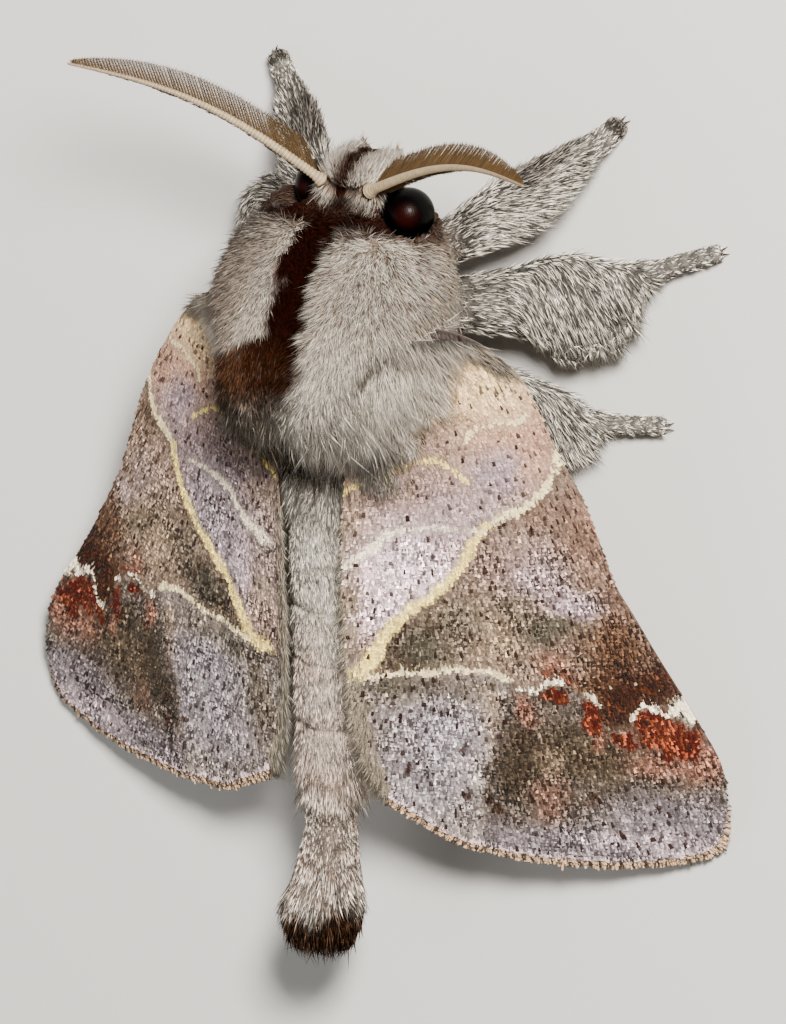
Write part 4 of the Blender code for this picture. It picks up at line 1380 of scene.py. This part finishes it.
def wing_colours(points, side):
    """The forewing's markings at plan points."""
    seed = SEEDS[side]
    rim = costal_fur(points, side)
    points = marking_place(points, side)
    wavy = points + 0.16 * np.column_stack((noise(points, 1.7, seed), noise(points, 1.7, seed + 1)))
    wavy += 0.07 * np.column_stack((noise(points, 5.3, seed + 11), noise(points, 5.3, seed + 12)))
    fine = 0.06 * noise(points, 7.0, seed + 5) + 0.03 * noise(points, 15.0, seed + 6)
    past = [points[:, 1] - interpolated(points[:, 0], line) for line in (DIAGONAL, OUTER_LINE)]
    past = [ease(gap + fine, -0.06, 0.06) for gap in past]
    folded = ease(points[:, 0] - interpolated(points[:, 1], FOLD) + fine, -0.1, 0.2)
    fields = (1 - past[0], past[0] * (1 - past[1]), past[1] * (1 - folded), past[1] * folded)
    tint = sum(share[:, None] * ground for share, ground in zip(fields, FIELD_TINTS))
    for field, paint, r, b, reach_r, reach_b, strength in PATCHES + (LEFT_LIT_PATCHES if side == "left" else ()):
        share = np.exp(-(((wavy[:, 0] - r) / reach_r) ** 2) - ((wavy[:, 1] - b) / reach_b) ** 2)
        share = ease(share * fields[field], 0.0, 0.95)
        if paint == "rust":
            share = ease(share + 0.3 * noise(points, 5.0, seed + 2), 0.3, 0.75)
        tint = toward(tint, WING_TINTS[paint], strength * share)
    cloud = noise(points, 1.0, seed + 3) + 0.8 * noise(points, 3.1, seed + 4)
    tint = tint * (1 + 0.09 * cloud)[:, None]
    for r, b, reach in SMUDGES:
        share = bell(np.hypot(wavy[:, 0] - r, wavy[:, 1] - b), reach)
        share = ease(share + 0.3 * noise(points, 9.0, seed + 7), 0.2, 0.8)
        tint = toward(tint, WING_TINTS["spot"], 0.92 * share)
    for paint, strength, (start, end), line in LINES:
        gap, share = line_distance(points, through(line, LINE_STEPS))
        half = start + (end - start) * share
        gap = gap + fine
        shade = ease(gap, half * 3.0, half * 1.3)
        tint = tint * (1 - 0.3 * shade * strength)[:, None]
        tint = toward(tint, WING_TINTS[paint], strength * ease(gap, half * 1.4, half * 0.6))
    return toward(tint, SLATE * 1.3, rim)


def closed_sheet(name, outline, side, depth, thickness, counts, paint):
    """A wing's sheet: two faces and a rim, with the markings on its upper face."""
    lengthwise, crosswise = counts
    shares = (np.linspace(0, 1, number + 1) for number in counts)
    out, back = np.meshgrid(*shares, indexing="ij")
    plan = wing_plan(outline, out.ravel(), back.ravel())
    rim = np.minimum(np.minimum(back, 1 - back) * 12, (1 - out) * 20).ravel()
    thick = thickness * (0.25 + 0.75 * ease(rim, 0, 1))
    upper = on_wing(plan, side, depth)
    lower = on_wing(plan, side, depth + thick)
    lower[:, 2] = np.minimum(lower[:, 2], upper[:, 2] - 0.02)
    lower[:, 2] = np.maximum(lower[:, 2], 0.0)
    count = len(plan)
    index = np.arange(count).reshape(lengthwise + 1, crosswise + 1)
    quads = np.stack((index[:-1, :-1], index[1:, :-1], index[1:, 1:], index[:-1, 1:]), axis=-1).reshape(-1, 4)
    loop = np.concatenate((index[:-1, 0], index[-1, :-1], index[:0:-1, -1], index[0, :0:-1]))
    ahead = np.roll(loop, -1)
    rim_quads = np.column_stack((loop, loop + count, ahead + count, ahead))
    faces = np.vstack((quads, quads[:, ::-1] + count, rim_quads))
    data = bpy.data.meshes.new(name)
    data.from_pydata((np.vstack((upper, lower)) * UNIT).tolist(), [], faces.tolist())
    tint = paint(plan, side)
    attribute(data, "tint", "FLOAT_COLOR", np.vstack((tint, UNDERSIDE + 0.25 * (tint - UNDERSIDE))))
    flat = np.vstack((plan_uv(plan), plan_uv(plan) * (1, 0.48) + (0, 0.5)))
    corners = gathered(data.loops, "vertex_index", 1, np.int32)[:, 0]
    attribute(data, "OFBake", "FLOAT2", flat[corners], "CORNER")
    outward(data)
    data.shade_smooth()
    return data


def plan_uv(plan):
    """The place of plan points on a wing's flat layout: the upper face fills its lower half."""
    return (plan + (-0.5, 1.5)) / (10.5, 36)


def outward(data):
    """Turns a closed mesh's faces outward."""
    mesh = bmesh.new()
    mesh.from_mesh(data)
    bmesh.ops.recalc_face_normals(mesh, faces=mesh.faces)
    mesh.to_mesh(data)
    mesh.free()


UNDERSIDE = colour(160, 142, 126)


def hindwing_colours(points, side):
    """Plain grey-brown, darker along the outer margin."""
    tint = evenly(colour(146, 130, 114), len(points))
    edge = ease(points[:, 1] + 0.25 * points[:, 0], 12.5, 14.5)
    tint = toward(tint, colour(104, 86, 74), 0.5 * edge)
    return tint * (1 + 0.1 * noise(points, 1.2, SEEDS[side]))[:, None]


def wing_normals(points, side):
    ways = ((PLAN_STEP, 0), (0, PLAN_STEP))
    spans = (on_wing(points + way, side, 0) - on_wing(points - np.array(way), side, 0) for way in ways)
    outs = unit_rows(np.cross(*spans))
    return outs * np.where(outs[:, 2:] < 0, -1, 1)


def plan_lines(points, side, lines):
    """Directions on the wing over plan directions."""
    ahead, behind = points + lines * PLAN_STEP, points - lines * PLAN_STEP
    return unit_rows(on_wing(ahead, side, 0) - on_wing(behind, side, 0))


def outline_points(outline):
    share = np.linspace(0, 1, 40)
    costa, outer, inner = (along(outline[edge], share) for edge in ("costa", "outer", "inner"))
    return np.vstack((costa, outer[1:], inner[::-1][1:]))


def wing_roots(points, side, depth, lines, rise, size, tint, tip):
    """Roots over plan points of a forewing, that far below its scale tips."""
    outs = wing_normals(points, side)
    roots = {"place": on_wing(points, side, depth), "lie": laid(lines, outs, rise), "out": outs}
    return {**roots, "size": size, "tint": tint, "tip": tip, "uv": plan_uv(points)}


def scale_roots(side, rng):
    """Rows of scales over a forewing from root to margin, and the dark scales scattered among them."""
    rows = np.arange(-1.4, 15.2, ROW_GAP)
    columns = np.arange(0.6, 10.4, SCALE_GAP)
    points = np.stack(np.meshgrid(columns, rows), axis=-1).reshape(-1, 2)
    number = np.repeat(np.arange(len(rows)), len(columns))
    points = points + rng.uniform(-0.5, 0.5, points.shape) * (SCALE_GAP, ROW_GAP * 0.5)
    points[:, 1] += 0.12 * noise(points, 0.6, 40) + 0.04 * noise(points, 2.2, 41)
    kept = inside(points, outline_points(FOREWINGS[side]))
    points, number = points[kept], number[kept]
    count = len(points)
    seed = SEEDS[side]
    tint = wing_colours(points, side)
    marked = marking_place(points, side)
    # painted shade: alternate rows of scales are painted darker and lighter for the shade between rows, most
    # where swell and rough are high; rough also scales each scale's own random tone
    swell = np.clip(0.7 + 0.6 * noise(points, 1.6, seed + 10), 0, 1)
    rough = 0.35 + 0.65 * ease(marked[:, 1], 3.0, 6.5)
    row_shade = 1 + 0.7 * rough * swell * np.where(number % 2, 1, -1)
    row_shade = row_shade + 0.25 * noise(points * (1, 5), 2.2, seed + 8)
    lined = sum(ease(line_distance(marked, through(line, LINE_STEPS))[0], 0.3, 0.1) for *_, line in LINES)
    lined = np.clip(lined, 0, 1)
    uneven = rng.normal(0, 1, count) * (0.5 - 0.28 * lined) * rough
    tint = tint * (row_shade * (1 - 0.6 * lined) + 0.6 * lined)[:, None] * np.exp(uneven)[:, None] * 0.96
    rusty = np.clip((tint[:, 0] / np.maximum(tint[:, 1], 0.001) - 2.3) / 3, 0, 1)
    rusty *= marked[:, 1] > interpolated(marked[:, 0], OUTER_LINE) - np.where(marked[:, 0] < 6.5, 0.9, 0)
    kind = rng.random(count)
    for chosen, goal, least in (
        ((rusty > 0.5) & (kind < 0.55), colour(84, 24, 10), 0.7),
        ((rusty > 0.05) & (rusty < 0.5) & (kind < 0.45), OLIVE_FIELD, 0.4),
        ((rusty > 0.05) & (kind > 0.9), colour(206, 152, 104), 0.3),
        ((rusty < 0.05) & (kind > 0.994), WING_TINTS["cream"], 0.05),
    ):
        tint[chosen] = toward(tint[chosen], goal, rng.uniform(least, least + 0.4, chosen.sum()))
    rise = 0.12 + np.abs(rng.normal(0, 0.03, count))
    size = evenly(SCALE_SIZE, count) * varied(rng, 0.1, (count, 1))
    away = unit_rows(points - SCALE_FAN)
    lines = plan_lines(points, side, away) + rng.normal(0, 0.08, (count, 3))
    ground = wing_roots(points, side, SCALE_DEPTH + 0.01, lines, rise, size, tint, tint * 1.15)
    costal = ease(points[:, 0] - np.interp(points[:, 1], (0, 4, 8, 10), (3.6, 5.3, 6.5, 7.6)), 0, 0.6)
    costal = costal * ease(points[:, 1], 11, 10)
    chance = 0.022 + 0.01 * noise(points, 0.8, seed + 9) + 0.035 * costal
    dark = rng.random(count) < np.where(lined > 0.3, 0.001, chance)
    spots = picked(ground, dark)
    spread = rng.uniform(0.0, 0.35, dark.sum())
    spots["tint"] = toward(evenly(WING_TINTS["spot"], dark.sum()), spots["tint"], spread)
    spots["tip"] = spots["tint"] * 0.8
    narrow = costal[dark, None]
    shape = np.array(SPOT_SIZE) * (1 - narrow) + np.array(NARROW_SPOT_SIZE) * narrow
    spots["size"] = shape * varied(rng, 0.2, (dark.sum(), 3))
    spots["lie"] = laid(spots["lie"], spots["out"], np.full(dark.sum(), 0.16))
    spots["place"] = spots["place"] + spots["out"] * 0.025
    return ground, spots


def fringe_roots(side, rng):
    """The fringe along a forewing's outer margin, in three layers, checked brown and pale."""
    found = []
    seed = FRINGE_SEEDS[side]
    for layer in range(FRINGE_LAYERS):
        share = (np.arange(FRINGE_SCALES) + rng.random(FRINGE_SCALES)) / FRINGE_SCALES
        points = along(FOREWING["outer"], share)
        line = unit_rows(np.gradient(points, axis=0))
        away = np.column_stack((line[:, 1], -line[:, 0]))
        away *= np.sign(((points - WING_MIDDLE) * away).sum(1, keepdims=True))
        points = points - away * (0.05 + 0.07 * layer)
        lines = plan_lines(points, side, away) + rng.normal(0, 0.1, (len(points), 3))
        check = ease(np.sin(share * 300 + 4 * noise(points, 0.8, seed)), -0.4, 0.8)
        tint = toward(evenly(colour(214, 200, 184), len(points)), colour(96, 82, 68), check)
        if layer == 2:
            tint = toward(tint, WING_TINTS["pale_lilac"], np.full(len(points), 0.75))
        tint = tint * varied(rng, 0.2, (len(points), 1))
        taper = 0.4 + 0.6 * ease(share, 0.02, 0.2)[:, None]
        size = evenly((0.026, 0.048, 0.43 - 0.05 * layer), len(points)) * taper
        size = size * varied(rng, 0.08, (len(points), 1))
        depth = SCALE_DEPTH + 0.02 + 0.03 * (2 - layer)
        rise = np.full(len(points), 0.04 * layer)
        tip = tint * (0.8 if layer < 2 else 1.1)
        found.append(wing_roots(points, side, depth, lines, rise, size, tint, tip))
    return joined(found)


def inner_roots(side, rng):
    """Long soft hair along a forewing's inner margin, over the side of the abdomen."""
    count, width = COAT["inner_margin"]
    share = np.sqrt(rng.uniform(0.08, 1, count))
    points = along(FOREWING["inner"], share) + np.column_stack((rng.uniform(0, 0.3, count), np.zeros(count)))
    away = np.column_stack((rng.uniform(-0.75, 0.05, count), np.ones(count)))
    lines = plan_lines(points, side, unit_rows(away)) + rng.normal(0, 0.1, (count, 3))
    tint = toward(evenly(colour(198, 190, 176), count), SLATE * 1.8, rng.random(count) * 0.7)
    rise = np.abs(rng.normal(0.1, 0.05, count))
    size = sized(rng, count, width, 0.45 + 0.15 * share)
    tip = toward(tint, PALE_TIP, np.full(count, 0.5))
    return wing_roots(points, side, SCALE_DEPTH, lines, rise, size, tint, tip)


def costal_fur(points, side):
    """How furry the front rim of a forewing's root is, at plan points."""
    gap, _ = line_distance(points, through(FOREWINGS[side]["costa"][:6], LINE_STEPS))
    return (1 - ease(gap + 0.1 * noise(points, 3.0, 35), 0.3, 0.6)) * (1 - ease(points[:, 1], 0.6, 1.4))


def root_hair(side, rng):
    """Soft hair over the wing's root that thins out into its scales."""
    count, width = COAT["wing_root"]
    plan = np.column_stack((rng.uniform(1.3, 6.0, count * 4), rng.uniform(-1.0, 4.2, count * 4)))
    kept = inside(plan, outline_points(FOREWINGS[side]))
    slant, reach = ROOT_FUR_EDGE[side]
    edge = (plan[:, 0] + slant * np.maximum(plan[:, 1], 0)) / reach
    kept &= rng.random(len(plan)) < np.maximum(1.02 - ease(edge, 0.9, 1.45), costal_fur(plan, side))
    points, edge = plan[kept][:count], edge[kept][:count]
    count = len(points)
    rim = costal_fur(points, side)
    shoulder = np.maximum(1 - ease(edge + 0.1 * noise(points, 2.0, 25), 0.88, 1.12), 0.6 * rim)
    away = unit_rows(points - HAIR_FAN)
    tint = toward(wing_colours(points, side), SNOW_TIP * 0.8, 0.85 * shoulder)
    wander = 0.3 * noise(points, 4.0, 31) + 0.4 * noise(points, 9.0, 32)
    away = unit_rows(away + np.column_stack((-away[:, 1], away[:, 0])) * wander[:, None])
    rear = ease(points[:, 1] - 0.5 * points[:, 0] + 0.3 * noise(points, 1.5, 26), 1.3, 2.1) * shoulder
    left_fur = shoulder * (side == "left") * ease(points[:, 1], 0.6, 1.6)
    tint = toward(toward(tint, UMBER, 0.7 * rear), MOTTLE, 0.8 * left_fur)
    tint = tint * varied(rng, 0.25, (count, 1))
    tip = toward(tint, CREAM_FUR, np.full(count, 0.5))
    tip = toward(toward(tip, SNOW_TIP * 1.1, 0.85 * shoulder), MOTTLE, 0.6 * rear)
    tint, tip = toward(tint, MOTTLE, 0.7 * rim), toward(tip, GREY_FUR * 0.8, 0.6 * rim)
    tip = toward(tip, MOTTLE * 1.3, 0.9 * left_fur)
    across = points[:, 0] + 0.9 * points[:, 1]
    ledge = bell(across - 2.9, 0.6)
    lift = 0.62 * (1 - ease(across, 2.9, 4.7)) * shoulder * (side == "right")
    rise = np.abs(rng.normal(0.18, 0.1, count)) + (0.45 + 0.45 * ledge) * shoulder
    lines = plan_lines(points, side, away) + rng.normal(0, 0.15, (count, 3))
    size = sized(rng, count, width, 0.3 + (0.32 + 0.25 * ledge) * shoulder)
    tip = tip * varied(rng, 0.15, (count, 1))
    roots = wing_roots(points, side, SCALE_DEPTH, lines, rise, size, tint, tip)
    roots["place"] = roots["place"] + roots["out"] * lift[:, None]
    return roots


def joined(groups):
    return {key: np.concatenate([group[key] for group in groups]) for key in groups[0]}


def picked(roots, chosen):
    return {key: values[chosen] for key, values in roots.items()}


# ---------------------------------------------------------------- feelers, eyes and claws


def antenna_line(side, share):
    """Places along a feeler's stem, in the body's frame."""
    base, tip, bow = (mirrored(one, SIDES[side]) for one in (ANTENNA_BASE, ANTENNA_TIP[side], BOW_LINE))
    share = np.asarray(share, float)[:, None]
    return base + (tip - base) * share + bow * np.sin(math.pi * share) * ANTENNA_BOW[side]


def tube(name, places, radii, sides, tint):
    """A closed round piece along places, with domed ends."""
    lines = unit_rows(np.gradient(places, axis=0))
    across = unit_rows(np.cross(lines, (0.01, 0.02, 1.0)))
    upward = np.cross(across, lines)
    angles = 2 * math.pi * np.arange(sides) / sides
    ring = across[:, None] * np.cos(angles)[None, :, None] + upward[:, None] * np.sin(angles)[None, :, None]
    points = (places[:, None] + ring * radii[:, None, None]).reshape(-1, 3)
    count = len(places)
    index = np.arange(count * sides).reshape(count, sides)
    turned = np.roll(index, -1, axis=1)
    quads = np.stack((index[:-1], turned[:-1], turned[1:], index[1:]), axis=-1).reshape(-1, 4).tolist()
    ends = [places[0] - lines[0] * radii[0] * 0.6, places[-1] + lines[-1] * radii[-1]]
    first, last = count * sides, count * sides + 1
    quads += [[first, turned[0, i], index[0, i]] for i in range(sides)]
    quads += [[last, index[-1, i], turned[-1, i]] for i in range(sides)]
    data = bpy.data.meshes.new(name)
    data.from_pydata((np.vstack((points, ends)) * UNIT).tolist(), [], quads)
    attribute(data, "tint", "FLOAT_COLOR", np.vstack((np.repeat(tint, sides, axis=0), tint[:1], tint[-1:])))
    outward(data)
    data.shade_smooth()
    return data


def antenna_stem(side):
    """A feeler's stem: a swollen base, then rings that shrink toward the tip."""
    share = np.linspace(0, 1, BRANCH_PAIRS * 5 + 1)
    places = on_body(*antenna_line(side, share).T)
    radii = 0.13 * (1 - 0.72 * share) * (1 + 0.07 * np.cos(share * BRANCH_PAIRS * 2 * math.pi))
    radii += 0.07 * bell(share, 0.02)
    ring = 0.5 + 0.5 * np.cos(share * BRANCH_PAIRS * 2 * math.pi)
    tint = toward(evenly(colour(190, 180, 158), len(share)), colour(128, 108, 80), 0.5 * (1 - ring))
    tint = toward(tint, colour(150, 124, 96), 0.6 * ease(share, 0.4, 1.0))
    return tube("stem", places, radii, 12, tint)


def branch_roots(side, rng):
    """Both rows of a feeler's branches, and the fine bristles on them."""
    share = (np.arange(BRANCH_PAIRS) + 0.5) / BRANCH_PAIRS * 0.97 + 0.015
    centre = antenna_line(side, share)
    line = unit_rows(antenna_line(side, share + 0.005) - antenna_line(side, share - 0.005))
    length = BRANCH_LENGTH * np.minimum(1, share / 0.05 + 0.35) * (1 - share**2.2) ** 0.8 + 0.05
    tint = evenly(colour(112, 84, 58), BRANCH_PAIRS) * varied(rng, 0.12, (BRANCH_PAIRS, 1))
    branches, bristles = [], []
    for name, row in BRANCH_ROWS.items():
        reach = length * (0.4 if (side, name) == ("right", "rear") else 1)
        row = mirrored(row, SIDES[side])
        lie = unit_rows(row + 0.3 * line + rng.normal(0, 0.016, (BRANCH_PAIRS, 3)))
        out = unit_rows(np.cross(lie, line))
        uv = np.column_stack((share, np.full(BRANCH_PAIRS, 0.25 if row[1] < 0 else 0.75)))
        size = np.column_stack((evenly((0.05, BRANCH_WIDTH[side]), BRANCH_PAIRS), reach))
        group = {"place": on_body(*centre.T), "lie": along_body(*lie.T), "out": along_body(*out.T)}
        group.update({"size": size, "tint": tint, "tip": tint * 0.85, "uv": uv})
        branches.append(group)
        for step in np.linspace(0.06, 0.98, BRISTLE_PLACES):
            for turn in (-1, 1):
                where = centre + lie * (reach * step)[:, None]
                across = np.cross(lie, out)
                aim = unit_rows(lie * 0.7 + across * turn + rng.normal(0, 0.15, (BRANCH_PAIRS, 3)))
                size = evenly((0.02, 0.02, 0.15), BRANCH_PAIRS) * (1 - 0.4 * share)[:, None]
                group = {"place": on_body(*where.T), "lie": along_body(*aim.T), "out": along_body(*out.T)}
                group.update({"size": size, "tint": tint, "tip": tint * 1.3, "uv": uv})
                bristles.append(group)
    return joined(branches), joined(bristles)


def eye_mesh(side):
    """An eye, dark, with a painted rusty eyeshine at its middle: a reflection held in its colour."""
    mesh = bmesh.new()
    bmesh.ops.create_icosphere(mesh, subdivisions=5, radius=EYE_RADIUS)
    points = np.array([vertex.co for vertex in mesh.verts])
    data = saved(mesh, f"eye_{side}")
    centre = mirrored(EYE_CENTRE, SIDES[side]) + EYE_SHIFT[side]
    places = on_body(*(centre + points).T)
    put_at(data, places)
    outwards = unit_rows(mirrored(EYE_SHINE, SIDES[side]))
    # painted reflection: a rusty eyeshine fixed in the eye's colour where it faces EYE_SHINE
    glow = ease(unit_rows(points) @ outwards, 0.72, 1.03) ** 2
    tint = toward(evenly(colour(9, 2, 1), len(points)), colour(46, 15, 6), glow)
    attribute(data, "tint", "FLOAT_COLOR", tint)
    outward(data)
    data.shade_smooth()
    return data


def claw_meshes():
    """Two small hooks at the end of every foot."""
    found = []
    for rows in LEGS.values():
        end, before = np.array(rows[-1][:3]), np.array(rows[-2][:3])
        forward = (end - before) / np.linalg.norm(end - before)
        aside = np.cross(forward, (0, 0, 1))
        for turn in (-1, 1):
            t = np.linspace(0, 1, CLAW_RINGS)[:, None]
            reach = end + forward * (0.02 + 0.16 * t) + aside * turn * (0.04 + 0.06 * t)
            reach[:, 2] = end[2] - 0.04 - 0.16 * t[:, 0] ** 2
            radii = 0.032 * (1 - t[:, 0]) + 0.008
            tint = evenly(colour(50, 32, 22), CLAW_RINGS)
            found.append(tube("claw", over_floor(*reach.T), radii, 6, tint))
    return found


def merged(name, meshes, finish):
    """One piece made of several meshes."""
    mesh = bmesh.new()
    for data in meshes:
        mesh.from_mesh(data)
    made = saved(mesh, name)
    made.shade_smooth()
    return placed(name, made, (finish,))


# ---------------------------------------------------------------- making


TUFTS = tuft_tree()
FUR = hair_finish("fur", 0.3)
DARK_FUR = hair_finish("dark_fur", 0.5, 0.8, 0.0, 0.02)
LEG_FUR = hair_finish("leg_fur", 0.14, 0.55, 0.03, 0.15, 0.08)
SCALES = scale_finish("wing_scales")
SHEET = grained_finish("wing_sheet", (11.0, 4.0, (1, 0.35, 1)), (0.7, 1.2), 0.05, 0.7, 0.12, 0.05)
PLAIN_SHEET = grained_finish("hindwing_sheet", (11.0, 4.0, (1, 0.5, 1)), (0.7, 1.2), 0.06, 0.7, 0.12, 0.05)
STEM = grained_finish("feeler_stem", (8.0, 3.0), (0.75, 1.2), 0.02, 0.55)
COMB = hair_finish("feeler_comb", 0.9, 0.6, 0.0, 0.06)
HORN = grained_finish("claw_horn", (8.0, 3.0), (0.75, 1.2), 0.02, 0.35, base=colour(46, 30, 20))
EYE = eye_finish()

skin, sown = make_skin()
skin_tint = np.zeros((len(sown["places"]), 3))
for number, region in enumerate(REGIONS):
    skin_tint += region_colours(region, sown["places"])[0] * sown["weights"][:, number : number + 1]
# painted shade: the skin under the coat is darkened, most under the tail and legs, for the shade deep in the
# fur
painted_depth_shade = 0.55 - 0.35 * sown["weights"][:, REGIONS.index("tail") :].sum(1, keepdims=True)
attribute(skin.data, "tint", "FLOAT_COLOR", skin_tint * painted_depth_shade)
skin.data.materials.append(grained_finish("short_fur", (14.0, 4.0), (0.55, 1.25), 0.12, 0.85, 0.03))
skin.data.shade_smooth()
belongs(skin, "coat", *FLESH)

rng = np.random.default_rng(SEED)


def furred(name, roots, finish, slot, curved_share):
    """A region's coat: curved tufts, finer straight ones, and its darkest hair apart from the rest."""
    dark = (roots["tint"].mean(1) < 0.022) & (slot != "leg")
    curved = rng.random(len(dark)) < curved_share
    for label, form, kept in (("", "HAIR", curved), ("_fine", "SPIKE", ~curved)):
        for shade, own_finish, own_slot, chosen in (
            ("", finish, slot, kept & ~dark),
            ("_dark", DARK_FUR, "dark_coat", kept & dark),
        ):
            if chosen.sum() > 20:
                grow(name + shade + label, form, picked(roots, chosen), own_finish, own_slot)


furred("coat_thorax", thorax_roots(sown, rng), FUR, "coat", 0.25)
furred("coat_head", head_roots(sown, rng), FUR, "coat", 0.5)
furred("coat_abdomen", abdomen_roots(sown, rng), FUR, "abdomen", 0.25)
furred("coat_tail", tail_roots(sown, rng), LEG_FUR, "abdomen", 0.4)
for leg in LEGS:
    furred(f"coat_leg_{leg}", leg_roots(sown, rng, leg), LEG_FUR, "leg", 0.35)

for side in SIDES:
    data = closed_sheet("sheet", FOREWINGS[side], side, SCALE_DEPTH, FOREWING_SHEET, (120, 66), wing_colours)
    belongs(placed(f"forewing_sheet_{side}", data, (SHEET,)), "wing", f"forewing_{side}")
    data = closed_sheet("sheet", HINDWING, side, HINDWING_DEPTH, HINDWING_SHEET, (80, 40), hindwing_colours)
    belongs(placed(f"hindwing_sheet_{side}", data, (PLAIN_SHEET,)), "hindwing", f"hindwing_{side}")
    ground, spots = scale_roots(side, rng)
    grow(f"forewing_scales_{side}", "SCALE", ground, SCALES, "wing")
    grow(f"forewing_spots_{side}", "SPOT", spots, SCALES, "wing")
    grow(f"forewing_fringe_{side}", "SCALE", fringe_roots(side, rng), SCALES, "wing")
    furred(f"forewing_hair_{side}", joined([inner_roots(side, rng), root_hair(side, rng)]), FUR, "wing", 0.5)
    belongs(placed(f"antenna_stem_{side}", antenna_stem(side), (STEM,)), "antenna", f"antenna_{side}")
    branches, bristles = branch_roots(side, rng)
    grow(f"antenna_branches_{side}", "BRANCH", branches, COMB, "antenna")
    grow(f"antenna_bristles_{side}", "BRISTLE", bristles, COMB, "antenna")
    belongs(placed(f"eyeball_{side}", eye_mesh(side), (EYE,)), "eye", f"eye_{side}")
belongs(merged("claws", claw_meshes(), HORN), "leg")

# ---------------------------------------------------------------- floor, light and camera

# The view's own directions over the floor, how far its middle lies from the body's, and how far back it is.
VIEW_ACROSS = (-0.871, -0.0905, -0.4828)
VIEW_DOWN = (-0.2055, 0.9598, 0.191)
VIEW_SHIFT = (2.17, 4.728)
VIEW_DISTANCE = 600
LENS = 819.5  # mm


def make_floor():
    """A plain pale floor."""
    mesh = bmesh.new()
    bmesh.ops.create_grid(mesh, x_segments=1, y_segments=1, size=1200 * UNIT)
    data = saved(mesh, "floor")
    made, _, surface = finish_tree("floor_paper", 0.9)
    surface.inputs["Base Color"].default_value = (0.62, 0.6, 0.57, 1)
    placed("floor", data, (made,))


def add_light(name, direction, distance, size, watts, warmth=(1, 1, 1)):
    """A square soft light aimed at the moth's back."""
    data = bpy.data.lights.new(name, "AREA")
    data.size = size * UNIT
    data.energy = watts
    data.color = warmth
    made = bpy.data.objects.new(name, data)
    bpy.context.scene.collection.objects.link(made)
    place = Vector(direction).normalized() * distance * UNIT
    made.location = place
    made.rotation_euler = (-place).to_track_quat("-Z", "Y").to_euler()


def make_world():
    world = bpy.data.worlds.new("studio")
    world.use_nodes = True
    world.node_tree.nodes["Background"].inputs["Color"].default_value = (0.96, 0.95, 0.93, 1)
    world.node_tree.nodes["Background"].inputs["Strength"].default_value = 0.2
    bpy.context.scene.world = world


def make_camera():
    """The view of the back from above, a little from the moth's right and front."""
    across = Vector(VIEW_ACROSS).normalized()
    down = Vector(VIEW_DOWN)
    down = (down - across * down.dot(across)).normalized()
    ahead = across.cross(down)
    aim = Vector((0, -MIDDLE, BACK_HEIGHT)) + across * VIEW_SHIFT[0] + down * VIEW_SHIFT[1]
    place = (aim - ahead * VIEW_DISTANCE) * UNIT
    data = bpy.data.cameras.new("camera")
    data.sensor_width = 36
    data.lens = LENS
    data.clip_start = 0.002
    data.clip_end = 10
    made = bpy.data.objects.new("camera", data)
    bpy.context.scene.collection.objects.link(made)
    made.matrix_world = Matrix.Translation(place) @ Matrix((across, -down, -ahead)).transposed().to_4x4()
    bpy.context.scene.camera = made


make_floor()
make_world()
add_light("key", (-0.5, -0.55, 0.8), 160, 34, 0.68, (1.0, 0.965, 0.92))
add_light("fill", (0.7, 0.3, 0.9), 160, 120, 0.06, (0.97, 0.98, 1.0))
make_camera()
